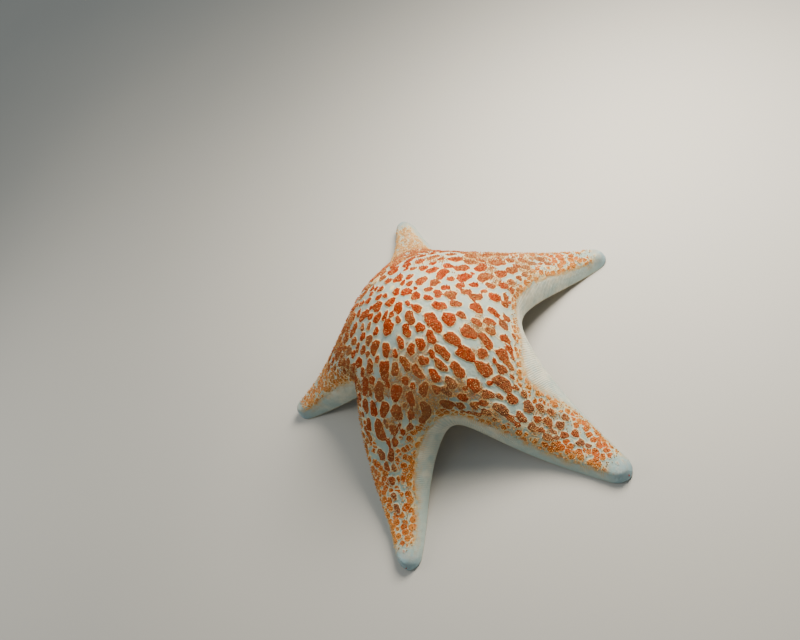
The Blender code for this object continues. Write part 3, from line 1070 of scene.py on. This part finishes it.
    def band_colour(self, p: SkinPalette) -> Any:
        """The margin band: smooth and pale, with fine creases across it and ochre streaks at its inner edge.

        Args:
            p: The skin's palette.

        Returns:
            The colour.
        """
        add = p.add
        pale = add(Node.MULTIPLY_ADD, add(Node.CLOUDS, p.place, grain(6.0), 3.0), 1.6, -0.8)
        pale = add(Node.RAMP, add(Node.ADD, p.product(p.figures["fold"], 0.7), pale), 0.1, 0.9)
        colour = add(Node.BLEND, pale, self.band, self.band_pale)
        colour = add(Node.BLEND, p.product(p.crease, 0.55), colour, self.hide_cool)
        streak = add(Node.MULTIPLY_ADD, p.sharp, -0.80, 1.0)
        broken = add(Node.RAMP, add(Node.CLOUDS, p.place, grain(5.0), 3.0), 0.34, 0.60)
        fringe = p.product(add(Node.RAMP, p.inward, -4.2, 0.2), streak, broken, 0.72)
        return add(Node.BLEND, fringe, colour, self.fringe_ochre)

    def height(self, p: SkinPalette, plate: Any) -> Any:
        """The relief: tubes, the blotches' rims, oral plates, creases, a fine grain and soft waves.

        Args:
            p: The skin's palette.
            plate: How far each point is from the middle of its oral plate.

        Returns:
            The height in millimetres.
        """
        add, place, back = p.add, p.place, p.figures["back"]
        height = p.product(p.tube, add(Node.GREATER, p.inside, p.product(p.haze, 0.8)), 0.12)
        proud = p.product(add(Node.RAMP, p.depth, -0.60, -0.20), p.feather, back)
        height = add(Node.MULTIPLY_ADD, proud, 0.11, height)
        plated = add(Node.GREATER, add(Node.RAMP, plate, 0.70, 0.30), back)
        height = add(Node.MULTIPLY_ADD, add(Node.SUBTRACT, plated, back), 0.22, height)
        height = add(Node.MULTIPLY_ADD, p.crease, -0.17, height)
        height = add(Node.MULTIPLY_ADD, add(Node.CLOUDS, place, grain(0.7), 3.0), 0.10, height)
        return add(Node.MULTIPLY_ADD, add(Node.CLOUDS, place, grain(3.2), 2.0), 0.45, height)


@dataclass(frozen=True)
class BreathingTubeFinish:
    """Papulae: thin-walled breathing tubes, translucent and wet, paler at their tips.

    They are ochre by the margin, tan on the arms, and red-orange on the middle of the disc.
    """

    name: str = "wet_breathing_tube_flesh"
    ochre: str = "#c68a48"
    tan: str = "#a36c42"
    orange: str = "#a2592f"
    red_orange: str = "#a43b09"
    straw: str = "#e9c884"

    def material(self) -> bpy.types.Material:
        """The papulae's material, from the tint and the paleness that each point carries.

        Returns:
            The material.
        """
        p = Palette(self.name)
        tint, pale = (p.add(Node.FIGURE, attribute_name=name) for name in ("tint", "pale"))
        colour = p.add(Node.BLEND, p.add(Node.RAMP, tint, 0.0, 0.33), self.ochre, self.tan)
        colour = p.add(Node.BLEND, p.add(Node.RAMP, tint, 0.33, 0.66), colour, self.orange)
        colour = p.add(Node.BLEND, p.add(Node.RAMP, tint, 0.66, 1.0), colour, self.red_orange)
        colour = p.add(Node.BLEND, p.product(p.add(Node.RAMP, pale, 0.2, 1.0), 0.85), colour, self.straw)
        return p.finish({"Base Color": colour, "Roughness": 0.48, "IOR": 1.40, "Specular IOR Level": 0.22})


@dataclass(frozen=True)
class SoftPartFinish:
    """A small soft or limy part in one colour that clouds a little, with a fine uneven surface."""

    name: str
    colour: str
    clouded: str
    cloud_size: float
    grain_size: float
    grain_height: float
    roughness: float

    def material(self) -> bpy.types.Material:
        """The part's material.

        Returns:
            The material.
        """
        p = Palette(self.name)
        clouds = p.add(Node.RAMP, p.add(Node.CLOUDS, p.place, grain(self.cloud_size), 3.0), 0.35, 0.65)
        colour = p.add(Node.BLEND, clouds, self.colour, self.clouded)
        surface = {"Base Color": colour, "Roughness": self.roughness, "IOR": 1.42}
        uneven = p.add(Node.CLOUDS, p.place, grain(self.grain_size), 3.0)
        return p.finish(surface, uneven, self.grain_height * MM)


# Tube feet are clear, watery flesh: pale straw and a little shiny.
TUBE_FOOT = SoftPartFinish("watery_tube_foot_flesh", "#d9c79b", "#c4a878", 3.0, 0.5, 0.05, 0.35)
# The spines and jaws are lime under skin: cream and matt.
LIMY_SPINE = SoftPartFinish("skinned_limy_spine", "#ddd0ae", "#c2b18a", 2.0, 0.4, 0.06, 0.55)
# The sieve plate is bare pitted lime: pale ochre and dull.
SIEVE_PLATE = SoftPartFinish("pitted_limy_sieve_plate", "#e6d4a2", "#cdb077", 1.2, 0.45, 0.25, 0.6)
# An eyespot is a cushion of red pigment cups: dark red and wet.
EYESPOT = SoftPartFinish("red_pigment_eyespot", "#7e1c12", "#a33322", 0.5, 0.3, 0.03, 0.3)
# The floor is painted board: pale, matt and even.
FLOOR_PAINT = SoftPartFinish("pale_matt_floor_paint", "#bfc0bb", "#babcb8", 400.0, 2.0, 0.02, 0.85)


def finished_piece(name: str, mesh: bpy.types.Mesh, finish: Any) -> bpy.types.Object:
    """Makes a piece of the star and dresses it.

    Args:
        name: The piece's name.
        mesh: Its shape.
        finish: Its finish.

    Returns:
        The piece, riding on the star.
    """
    mesh.name = name
    mesh.shade_smooth()
    mesh.materials.clear()
    mesh.materials.append(finish.material())
    piece = bpy.data.objects.new(name, mesh)
    bpy.context.scene.collection.objects.link(piece)
    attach(piece, "root")
    LOG.info("%s: %d vertices, %d faces", name, len(mesh.vertices), len(mesh.polygons))
    return piece


def read(items: Any, name: str, kind: Any = np.int32, width: int = 1) -> np.ndarray:
    """One figure of all of a mesh's points, corners or faces.

    Args:
        items: The points, corners or faces.
        name: The figure's name.
        kind: The kind of number.
        width: How many numbers each has.

    Returns:
        The numbers in one row.
    """
    values = np.empty(len(items) * width, dtype=kind)
    items.foreach_get(name, values)
    return values


def write(mesh: bpy.types.Mesh, name: str, values: Any, kind: str = "FLOAT", domain: str = "POINT") -> None:
    """Gives a mesh a new attribute.

    Args:
        mesh: The mesh.
        name: The attribute's name.
        values: Its numbers.
        kind: The kind of number.
        domain: What has one each.
    """
    values = np.asarray(values, dtype=np.float32 if kind == "FLOAT" else np.int32)
    mesh.attributes.new(name, kind, domain).data.foreach_set("value", values)


def mesh_of(bm: bmesh.types.BMesh) -> bpy.types.Mesh:
    """A mesh from a bmesh.

    Args:
        bm: The bmesh, which is used up.

    Returns:
        The mesh.
    """
    mesh = bpy.data.meshes.new("shape")
    bm.to_mesh(mesh)
    bm.free()
    return mesh


def upright_cone(sides: int, wide: float, narrow: float, height: float) -> bmesh.types.BMesh:
    """A closed cone, cut off at its top, about its own middle.

    Args:
        sides: How many sides it has.
        wide: Its radius at the foot.
        narrow: Its radius at the top.
        height: Its height.

    Returns:
        The cone.
    """
    bm = bmesh.new()
    bmesh.ops.create_cone(bm, cap_ends=True, segments=sides, radius1=wide, radius2=narrow, depth=height)
    return bm


def top_face(bm: bmesh.types.BMesh) -> bmesh.types.BMFace:
    """The face that lies highest."""
    return max(bm.faces, key=lambda face: face.calc_center_median().z)


def draw_out(bm: bmesh.types.BMesh, rise: float, spread: float) -> None:
    """Draws the top face of an upright shape upwards.

    Args:
        bm: The shape, about its own axis.
        rise: How far the face goes up.
        spread: How many times as wide it gets.
    """
    top = [top_face(bm)]
    grown = bmesh.ops.extrude_face_region(bm, geom=top)["geom"]
    bmesh.ops.delete(bm, geom=top, context="FACES_ONLY")
    crown = [item for item in grown if isinstance(item, bmesh.types.BMVert)]
    bmesh.ops.translate(bm, vec=(0.0, 0.0, rise), verts=crown)
    bmesh.ops.scale(bm, vec=(spread, spread, 1.0), verts=crown)


def planted(shape: bmesh.types.BMesh, seats: list[Matrix]) -> bpy.types.Mesh:
    """One mesh with a copy of a small shape at each place.

    Args:
        shape: The shape, which is used up.
        seats: The places.

    Returns:
        The mesh.
    """
    pattern = mesh_of(shape)
    count = len(pattern.vertices)
    bm = bmesh.new()
    for _ in seats:
        bm.from_mesh(pattern)
    for number, vert in enumerate(bm.verts):
        vert.co = seats[number // count] @ vert.co
    return mesh_of(bm)


@dataclass
class Skin:
    """The one skin of the disc and arms."""

    form: StarForm
    markings: Markings
    columns: int = 404
    rings: int = 242
    crowding: float = 0.6
    back_share: float = 0.72
    evenness: float = 0.65
    swell: float = 0.35 * MM
    swell_size: float = 13.0 * MM
    blotch_rise: float = 0.22 * MM
    root: float = 0.03
    # Stretches of distance, from an arm's tip and from the middle.
    tip_colours: tuple[float, float] = (0.0150, 0.0130)
    # The second stretch, from the middle, is where the arms' own colours and their painted shade come in.
    arm_colours_and_painted_shade: tuple[float, float] = (0.025, 0.045)

    def build(self) -> bpy.types.Object:
        """Builds the skin and marks it.

        Returns:
            The piece.
        """
        bm = bmesh.new()
        bmesh.ops.create_grid(bm, x_segments=self.columns, y_segments=self.rings, size=1.0)
        for vert in bm.verts:
            bearing, down = (vert.co.x + 1.0) * math.pi, (1.0 - vert.co.y) * math.pi / 2.0
            flat = math.sin(down)
            vert.co = (flat * math.cos(bearing), flat * math.sin(bearing), math.cos(down))
        bmesh.ops.remove_doubles(bm, verts=bm.verts, dist=1e-6)
        skin = finished_piece("skin", mesh_of(bm), LeatherySkinFinish())
        mesh = skin.data
        angle, share, side = self.places(mesh)
        points = self.form.surface(angle, share, side) + self.form.middle
        mesh.vertices.foreach_set("co", points.reshape(-1))
        mesh.update()
        inward, run, fold = self.markings.inward(points)
        depth, tone = self.markings.paint(points)
        self.shape(mesh, points, side, depth)
        mosaic = self.markings.mosaic(points, angle, inward)
        bleach = self.markings.bleach(points, angle)
        self.mark(mesh, points, share, side, inward, fold, depth, tone, mosaic, bleach)
        self.mark_sectors(mesh, angle)
        self.lay_margin_run(mesh, run, inward)
        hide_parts(*FLESH_NODES)
        return skin

    def places(self, mesh: bpy.types.Mesh) -> tuple[np.ndarray, np.ndarray, np.ndarray]:
        """Where each point of the ball goes on the star.

        Args:
            mesh: The ball.

        Returns:
            Bearings, shares of the way out, and sides.
        """
        ball = read(mesh.vertices, "co", float, 3).reshape(-1, 3)
        angle = np.arctan2(ball[:, 1], ball[:, 0])
        count = len(self.form.arms)
        angle = np.mod(angle - self.crowding / count * np.sin(count * angle), 2.0 * math.pi)
        down = np.arccos(np.clip(ball[:, 2], -1.0, 1.0)) / math.pi
        ring = np.round(down * self.rings)
        last = round(self.rings * self.back_share)
        out = np.where(ring <= last, ring / last, (self.rings - ring) / (self.rings - last))
        share = self.evenness * out + (1.0 - self.evenness) * np.sin(out * math.pi / 2.0)
        return angle, share, np.where(ring <= last, 1, -1)

    def shape(self, mesh: bpy.types.Mesh, points: np.ndarray, side: np.ndarray, depth: np.ndarray) -> None:
        """Lets the back sink and swell softly, with the blotches a little proud, never past the form.

        Args:
            mesh: The skin.
            points: Its points, which are moved.
            side: Their sides.
            depth: How far each is inside a blotch, in millimetres.
        """
        normal = read(mesh.vertices, "normal", float, 3).reshape(-1, 3)
        waves = np.array([noise.noise(Vector(point) / self.swell_size) for point in points])
        sink = (0.5 - 0.5 * waves) * self.swell + (1.0 - smooth_step((depth + 0.9) / 1.3)) * self.blotch_rise
        points -= normal * (sink * (side > 0))[:, None]
        points[:, 2] = np.maximum(points[:, 2], 0.0)
        mesh.vertices.foreach_set("co", points.reshape(-1))
        mesh.update()

    def mark(
        self,
        mesh: bpy.types.Mesh,
        points: np.ndarray,
        share: np.ndarray,
        side: np.ndarray,
        inward: np.ndarray,
        fold: np.ndarray,
        depth: np.ndarray,
        tone: np.ndarray,
        mosaic: np.ndarray,
        bleach: np.ndarray,
    ) -> None:
        """Writes the markings' figures on the skin.

        Args:
            mesh: The skin.
            points: Its points.
            share: Their shares of the way out.
            side: Their sides.
            inward: How far each is in from the margin band.
            fold: How folded the band is beside each.
            depth: How far each is inside a blotch, in millimetres.
            tone: The tone of the nearest blotch.
            mosaic: How far each is inside the zone of close cells.
            bleach: How far each is bleached.
        """
        reach = np.hypot(*(points - self.form.middle).T[:2])
        tips = [
            self.form.arm_points(i, np.array([self.form.reach_of(i)]), np.array([0.0]), Side.BACK)[0]
            for i in range(len(self.form.arms))
        ]
        to_tip = np.min([np.linalg.norm(points - tip, axis=1) for tip in tips], axis=0)
        haze = self.markings.haze(points, inward)
        tubes = np.maximum(smooth_step((depth - 0.05) / 0.4), haze * 0.8)
        tubes = np.maximum(tubes, 0.8 * smooth_step(mosaic / (0.8 * MM))) * (side > 0) * (share < 0.995)
        tip = go_out(to_tip, self.tip_colours) * (reach > self.root)
        figures = {
            "blotch": depth,
            "tone": tone,
            "inward": inward / MM,
            "mosaic": mosaic / MM,
            "bleach": bleach,
            "tip": tip,
            # How far out along the arms: it draws their own cooler, browner colours and the painted shade
            # that darkens them outwards.
            "outward": come_in(reach, self.arm_colours_and_painted_shade),
            "fold": 0.08 + 0.92 * fold,
            "haze": haze,
            "vent": np.linalg.norm(points - self.markings.vent, axis=1) / MM,
            "back": ((side > 0) | (share > 0.998)).astype(float),
            "tubes": tubes * smooth_step((0.60 - tip) / 0.40) * smooth_step(inward / (2.0 * MM)),
        }
        for name, values in figures.items():
            write(mesh, name, values)

    def mark_sectors(self, mesh: bpy.types.Mesh, angle: np.ndarray) -> None:
        """Writes on each face which arm it belongs to.

        Args:
            mesh: The skin.
            angle: The bearing of each point before the arms are swung.
        """
        corner, start = read(mesh.loops, "vertex_index"), read(mesh.polygons, "loop_start")
        sector = np.round(angle[corner[start]] / self.form.step).astype(np.int32) % len(self.form.arms)
        write(mesh, "sector", sector, "INT", "FACE")

    def lay_margin_run(self, mesh: bpy.types.Mesh, run: np.ndarray, inward: np.ndarray) -> None:
        """Lays a UV map whose first axis counts creases along the margin, in whole turns round the star.

        Args:
            mesh: The skin.
            run: The run along the rim to each point.
            inward: How far in each point is.
        """
        length = self.markings.rim_length
        count = round(length / (LeatherySkinFinish().crease_spacing * MM))
        corner, start = read(mesh.loops, "vertex_index"), read(mesh.polygons, "loop_start")
        first = np.repeat(run[corner[start]], read(mesh.polygons, "loop_total"))
        along = run[corner] + length * np.round((first - run[corner]) / length)
        # The bands of a wave texture repeat every pi tenths of its scale.
        layer = mesh.uv_layers.new(name="MarginRun")
        flat = np.stack([along / length * count * math.pi / 10.0, inward[corner] / MM * 0.25], -1)
        layer.data.foreach_set("uv", flat.astype(np.float32).reshape(-1))


@dataclass
class BreathingTubes:
    """The papulae: short soft tubes, close together, that stand on the blotches and the fringe."""

    skin: bpy.types.Object
    form: StarForm
    spacing: float = 0.62 * MM
    densest: float = 6.0e6
    radius: float = 0.24 * MM
    height: float = 0.58 * MM
    leans: tuple[Vector3, Vector3] = ((-0.35, -0.35, 0.0), (0.35, 0.35, 6.28))
    sizes: tuple[Vector3, Vector3] = ((0.75, 0.75, 0.6), (1.15, 1.15, 1.3))

    def build(self) -> list[bpy.types.Object]:
        """Builds the papulae, a piece for each arm.

        Returns:
            The pieces.
        """
        shape = bpy.data.objects.new("breathing_tube", self.tube())
        bed = bpy.data.objects.new("tube_bed", self.skin.data)
        bpy.context.scene.collection.objects.link(bed)
        pieces = []
        for number, arm in enumerate(self.form.arms):
            planting = bed.modifiers.new("planting", "NODES")
            planting.node_group = self.planting(shape, number)
            graph = bpy.context.evaluated_depsgraph_get()
            mesh = bpy.data.meshes.new_from_object(bed.evaluated_get(graph))
            bed.modifiers.remove(planting)
            self.lay_bake_map(mesh)
            name = "breathing_tubes_" + arm.name
            pieces.append(finished_piece(name, mesh, BreathingTubeFinish()))
        bpy.data.objects.remove(bed)
        bpy.data.objects.remove(shape)
        return pieces

    def tube(self) -> bpy.types.Mesh:
        """One papula: a closed five-sided finger with a rounded tip.

        Returns:
            Its mesh, marked with how far up each point is.
        """
        bm = upright_cone(5, self.radius, self.radius * 0.92, self.height)
        draw_out(bm, self.radius * 0.6, 0.5)
        bmesh.ops.translate(bm, vec=(0.0, 0.0, self.height * 0.25), verts=bm.verts)
        mesh = mesh_of(bm)
        write(mesh, "rise", [vert.co.z / self.height for vert in mesh.vertices])
        return mesh

    def planting(self, shape: bpy.types.Object, number: int) -> bpy.types.NodeTree:
        """The nodes that plant one arm's papulae on the skin.

        Args:
            shape: One papula.
            number: Which arm.

        Returns:
            The node tree.
        """
        tree = bpy.data.node_groups.new("papulae", "GeometryNodeTree")
        tree.interface.new_socket("Geometry", in_out="INPUT", socket_type="NodeSocketGeometry")
        tree.interface.new_socket("Geometry", in_out="OUTPUT", socket_type="NodeSocketGeometry")
        add = Recipe(tree).add
        names = ("tubes", "tone", "inward", "mosaic", "blotch", "bleach")
        density, tone, inward, mosaic, blotch, bleach = (add(Node.NAMED, name) for name in names)
        points = add(Node.SCATTER, add(Node.BED), self.spacing, self.densest, density, SEED)

        # They stand on this arm's blotches and on the cells of the mosaic, as the skin's finish draws them.
        finish = LeatherySkinFinish()
        place = add(Node.POSITION)
        wall = add(Node.WALLS, place, grain(finish.mosaic_size), MOSAIC_RANDOMNESS)
        cell = add(Node.MULTIPLY_ADD, wall, finish.mosaic_size, -finish.mosaic_line - 0.40)
        uneven = add(Node.CLOUDS, place, grain(finish.mosaic_size / 3.0), 2.0)
        cell = add(Node.MULTIPLY_ADD, uneven, 0.8, cell)
        cell = add(Node.LESSER, cell, add(Node.SUBTRACT, -0.5, blotch))
        inside = add(Node.GREATER, add(Node.GREATER, cell, blotch), add(Node.MULTIPLY, mosaic, -1.0))
        elsewhere = add(Node.UNLIKE, add(Node.NAMED, "sector", data_type="INT"), number)
        kept = add(Node.WEED, points, add(Node.EITHER, elsewhere, add(Node.BELOW, inside, 0.0)))

        # Their tint runs from ochre by the margin and beside the blotches to red-orange on the disc.
        outer = add(Node.SLOPE, inward, 7.5, 1.5, 0.0, -0.9)
        beside = add(Node.SLOPE, blotch, 0.2, -0.3, 0.0, -0.55)
        warm = add(Node.MULTIPLY_ADD, tone, 0.67, 0.33)
        warm = add(Node.ADD, warm, add(Node.LUCK, SEED + 3, -0.12, 0.12))
        tint = add(Node.ADD, warm, add(Node.LESSER, outer, beside), use_clamp=True)
        luck = add(Node.POWER, add(Node.LUCK, SEED + 6, 0.0, 1.0), 3.0)
        marked = add(Node.MARK, kept, "tint", tint)
        marked = add(Node.MARK, marked, "luck", add(Node.GREATER, luck, bleach))

        # Each leans its own way and has its own size.
        lean = add(Node.LEAN, add(Node.LUCK_ON_AXES, SEED + 4, *self.leans))
        turn = add(Node.TURN, points.node.outputs["Rotation"], lean)
        grown = add(Node.LUCK_ON_AXES, SEED + 5, *self.sizes)
        planted_tubes = add(Node.PLANT, marked, add(Node.SHAPE, shape), turn, grown)
        add(Node.HARVEST, add(Node.REAL, planted_tubes))
        return tree

    def lay_bake_map(self, mesh: bpy.types.Mesh) -> None:
        """Writes how pale each point is, and lays the map that the colours are baked through.

        The map's axes are the tint and the paleness.

        Args:
            mesh: The papulae.
        """
        names = ("tint", "rise", "luck")
        tint, rise, luck = (read(mesh.attributes[name].data, "value", np.float32) for name in names)
        pale = np.clip(0.25 * np.clip(rise, 0.0, 1.0) + 0.55 * luck, 0.0, 1.0)
        write(mesh, "pale", pale)
        corner = read(mesh.loops, "vertex_index")
        # A little to and fro keeps each face some width there.
        fro = np.resize(np.array([0.0, 0.01, 0.02, 0.01]), len(corner))
        flat = np.stack([0.04 + 0.9 * tint[corner] + fro, 0.04 + 0.9 * pale[corner]], -1)
        mesh.uv_layers.new(name="OFBake").data.foreach_set("uv", flat.astype(np.float32).reshape(-1))


@dataclass
class TubeFeet:
    """The two rows of tube feet in each groove."""

    form: StarForm
    spacing: float = 2.3 * MM
    off: float = 1.0 * MM
    first: float = 9.0 * MM
    bare_end: float = 13.0 * MM
    stem_radius: float = 0.42 * MM
    sucker_radius: float = 0.72 * MM
    longest: float = 4.8 * MM
    least: float = 0.8 * MM
    lean: float = 0.16
    least_fall: float = 0.2
    clearance: float = 0.1 * MM
    rooted: float = 0.3 * MM

    def build(self) -> bpy.types.Object:
        """Builds all the tube feet as one piece.

        Returns:
            The piece.
        """
        random = np.random.default_rng(SEED + 1)
        places = []
        for index in range(len(self.form.arms)):
            for row in (-1, 1):
                start = self.first + row * self.spacing / 4.0
                along = np.arange(start, self.form.reach_of(index) - self.bare_end, self.spacing)
                for seat in self.form.seats(index, along, row * self.off, Side.ORAL):
                    place = self.stood(seat, random)
                    if place is not None:
                        places.append(place)
        return finished_piece("tube_feet", planted(self.foot(), places), TUBE_FOOT)

    def foot(self) -> bmesh.types.BMesh:
        """One tube foot of unit length: a tapered stem that widens to its sucker.

        Returns:
            Its shape.
        """
        stem, edge, sucker = 0.82, self.stem_radius * 0.8, self.sucker_radius
        bm = upright_cone(9, self.stem_radius * 1.25, edge, stem)
        bmesh.ops.translate(bm, vec=(0.0, 0.0, stem / 2.0), verts=bm.verts)
        for radius, rise in ((sucker, 0.10), (sucker * 0.96, 0.06), (sucker * 0.5, 0.02)):
            draw_out(bm, rise, radius / edge)
            edge = radius
        return bm

    def stood(self, seat: Matrix, random: np.random.Generator) -> Matrix | None:
        """Where one tube foot stands and how long it is.

        Args:
            seat: Its place on the groove's floor.
            random: Where its length and lean come from.

        Returns:
            Its place, or nothing where the floor is too near.
        """
        across, along = (random.normal(0.0, self.lean) for _ in range(2))
        way = seat @ (Matrix.Rotation(across, 4, "X") @ Matrix.Rotation(along, 4, "Y"))
        fall = max(-way.col[2][2], self.least_fall)
        slope = math.sqrt(max(0.0, 1.0 - fall * fall))
        room = (way.translation.z - self.sucker_radius * slope - self.clearance) / fall
        length = min(self.longest * random.uniform(0.6, 1.0), room)
        if length < self.least:
            return None
        return way @ Matrix.Translation((0.0, 0.0, -self.rooted)) @ Matrix.Diagonal((1.0, 1.0, length, 1.0))


@dataclass
class GrooveSpines:
    """The small spines that stand along both edges of each groove."""

    form: StarForm
    spacing: float = 1.25 * MM
    first: float = 6.0 * MM
    bare_end: float = 16.0 * MM
    length: float = 1.7 * MM
    radius: float = 0.30 * MM
    stand_off: float = 1.02
    showing: float = 0.35
    tilt: float = 0.35
    tilt_spread: float = 0.08
    clearance: float = 0.3 * MM

    def build(self) -> bpy.types.Object:
        """Builds all the spines as one piece.

        Returns:
            The piece.
        """
        random = np.random.default_rng(SEED + 2)
        places = []
        for index in range(len(self.form.arms)):
            for row in (-1, 1):
                along = np.arange(self.first, self.form.reach_of(index) - self.bare_end, self.spacing)
                off = row * self.form.groove_half(along) * self.stand_off
                for seat in self.form.seats(index, along, off, Side.ORAL):
                    tilt = Matrix.Rotation(row * random.normal(self.tilt, self.tilt_spread), 4, "X")
                    spine = seat @ tilt @ Matrix.Translation((0.0, 0.0, self.length * self.showing))
                    if (spine @ Vector((0.0, 0.0, self.length * 0.5))).z > self.clearance:
                        places.append(spine)
        bm = upright_cone(7, self.radius, self.radius * 0.62, self.length)
        bmesh.ops.bevel(
            bm,
            geom=list(top_face(bm).edges),
            offset=self.radius * 0.4,
            offset_type="OFFSET",
            segments=2,
            profile=0.5,
            affect="EDGES",
            material=-1,
        )
        return finished_piece("groove_spines", planted(bm, places), LIMY_SPINE)


@dataclass
class Jaws:
    """The five pairs of jaw plates round the mouth."""

    form: StarForm
    reach: float = 6.4 * MM
    apart: float = 0.9 * MM
    size: Vector3 = (1.9 * MM, 0.8 * MM, 0.9 * MM)

    def build(self) -> bpy.types.Object:
        """Builds the jaws as one piece.

        Returns:
            The piece.
        """
        half_turn = self.form.step / 2.0
        places = []
        for index in range(len(self.form.arms)):
            for row in (-1, 1):
                along = self.reach * math.cos(half_turn) - row * self.apart * math.sin(half_turn)
                across = self.reach * math.sin(half_turn) + row * self.apart * math.cos(half_turn)
                seat = self.form.seat(index, along, across, Side.ORAL)
                places.append(seat @ Matrix.Rotation(half_turn, 4, "Z"))
        bm = bmesh.new()
        drawn = Matrix.Diagonal((*self.size, 1.0))
        bmesh.ops.create_uvsphere(bm, u_segments=16, v_segments=10, radius=1.0, matrix=drawn)
        return finished_piece("jaws", planted(bm, places), LIMY_SPINE)


@dataclass
class SievePlate:
    """The madreporite: a low limy button with fine winding grooves."""

    form: StarForm
    radius: float = 3.1 * MM
    proud: float = 0.55 * MM
    depth: float = 1.4 * MM
    place: float = 16.0 * MM
    bearing: float = 0.325
    groove_depth: float = 0.16 * MM
    rings: float = 9.0
    winding: float = 5.0
    wander: float = 2.2

    def build(self) -> bpy.types.Object:
        """Builds the plate.

        Returns:
            The piece.
        """
        turn = self.bearing * self.form.step
        seat = self.form.seat(1, self.place * math.cos(turn), self.place * math.sin(turn), Side.BACK)
        bm = bmesh.new()
        bmesh.ops.create_uvsphere(bm, u_segments=96, v_segments=48, radius=1.0)
        for vert in bm.verts:
            flat = math.hypot(vert.co.x, vert.co.y)
            winding = self.winding * noise.noise(vert.co * self.wander)
            wave = math.sin(self.rings * flat + winding) * (1.0 - flat**6)
            high = vert.co.z * (self.proud if vert.co.z > 0.0 else self.depth)
            cut = self.groove_depth * (0.5 - 0.5 * wave) * (vert.co.z > 0.05)
            vert.co = Vector((vert.co.x * self.radius, vert.co.y * self.radius, high - cut))
        bmesh.ops.transform(bm, matrix=seat, verts=bm.verts)
        plate = finished_piece("sieve_plate", mesh_of(bm), SIEVE_PLATE)
        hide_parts("madreporite")
        return plate


@dataclass
class Eyespots:
    """The red eyespot low on the end of each arm."""

    form: StarForm
    radius: float = 0.28 * MM
    sunk: float = 0.62
    from_end: float = 0.05 * MM

    def build(self) -> bpy.types.Object:
        """Builds the five eyespots as one piece.

        Returns:
            The piece.
        """
        sunk = Matrix.Translation((0.0, 0.0, -self.sunk * self.radius))
        places = [
            self.form.seat(index, self.form.reach_of(index) - self.from_end, 0.0, Side.BACK) @ sunk
            for index in range(len(self.form.arms))
        ]
        bm = bmesh.new()
        bmesh.ops.create_uvsphere(bm, u_segments=16, v_segments=10, radius=self.radius)
        return finished_piece("eyespots", planted(bm, places), EYESPOT)


@dataclass(frozen=True)
class Lamp:
    """A soft square light that faces the star.

    It stands at a bearing from +X and a height over the floor, both in degrees, and at a distance from the
    middle of the floor. Its size is its side, and its power is in watts.
    """

    name: str
    bearing: float
    height: float
    away: float
    size: float
    power: float
    colour: str

    def build(self) -> None:
        """Hangs the light."""
        light = bpy.data.lights.new(self.name, "AREA")
        light.size = self.size
        light.energy = self.power
        light.color = linear(self.colour)[:3]
        lamp = bpy.data.objects.new(self.name, light)
        bearing, height = math.radians(self.bearing), math.radians(self.height)
        flat = math.cos(height)
        way = Vector((math.cos(bearing) * flat, math.sin(bearing) * flat, math.sin(height)))
        lamp.location = way * self.away
        lamp.rotation_euler = way.to_track_quat("Z", "Y").to_euler()
        lamp.visible_camera = False
        bpy.context.scene.collection.objects.link(lamp)


@dataclass
class Studio:
    """The plain floor, the soft lights and the camera."""

    form: StarForm
    lamps: tuple[Lamp, ...] = (
        Lamp("key", bearing=10.0, height=50.0, away=0.29, size=0.15, power=2.3, colour="#fff1de"),
        Lamp("second", bearing=150.0, height=30.0, away=0.50, size=0.20, power=0.6, colour="#fff6ea"),
        Lamp("overhead", bearing=128.0, height=62.0, away=2.2, size=2.0, power=5.0, colour="#f1f6f5"),
    )
    tilt: float = math.radians(50.3)
    roll: float = math.radians(-39.9)
    distance: float = 0.3536
    shift_right: float = -0.0261
    shift_up: float = 0.0207
    lens: float = 31.185
    film_width: float = 36.0
    nearest: float = 0.01
    floor_reach: float = 2.5
    floor_gap: float = 0.05 * MM
    room_light: str = "#dfe6ea"
    room_strength: float = 0.30

    def build(self) -> None:
        """Builds the studio round the star."""
        bm = bmesh.new()
        bmesh.ops.create_grid(bm, x_segments=1, y_segments=1, size=self.floor_reach)
        floor = bpy.data.objects.new("floor", mesh_of(bm))
        floor.data.materials.append(FLOOR_PAINT.material())
        floor.location.z = -self.floor_gap
        bpy.context.scene.collection.objects.link(floor)
        self.add_camera()
        for lamp in self.lamps:
            lamp.build()
        world = bpy.data.worlds.new("studio")
        world.use_nodes = True
        background = world.node_tree.nodes["Background"]
        background.inputs["Color"].default_value = linear(self.room_light)
        background.inputs["Strength"].default_value = self.room_strength
        bpy.context.scene.world = world

    def add_camera(self) -> None:
        """Sets the camera above the floor, turned a little on its own axis."""
        back = Vector((0.0, -math.cos(self.tilt), math.sin(self.tilt)))
        level = Vector((1.0, 0.0, 0.0))
        upright = back.cross(level)
        right = level * math.cos(self.roll) + upright * math.sin(self.roll)
        up = upright * math.cos(self.roll) - level * math.sin(self.roll)
        lens = bpy.data.cameras.new("camera")
        lens.lens = self.lens
        lens.sensor_width = self.film_width
        lens.clip_start = self.nearest
        camera = bpy.data.objects.new("camera", lens)
        aside = right * self.shift_right + up * self.shift_up
        place = back * self.distance + aside + Vector(self.form.middle)
        camera.matrix_world = Matrix.Translation(place) @ Matrix((right, up, back)).transposed().to_4x4()
        bpy.context.scene.collection.objects.link(camera)
        bpy.context.scene.camera = camera


def main() -> None:
    """Builds the star and its studio, piece by piece."""
    logging.basicConfig(level=logging.INFO, format="%(name)s: %(message)s")
    form = StarForm()
    markings = Markings(form)
    LOG.info("%d blotches", len(markings.blotches))
    skin = Skin(form, markings).build()
    BreathingTubes(skin, form).build()
    for part in (SievePlate(form), TubeFeet(form), GrooveSpines(form), Jaws(form), Eyespots(form)):
        part.build()
    Studio(form).build()


if __name__ == "__main__":
    main()
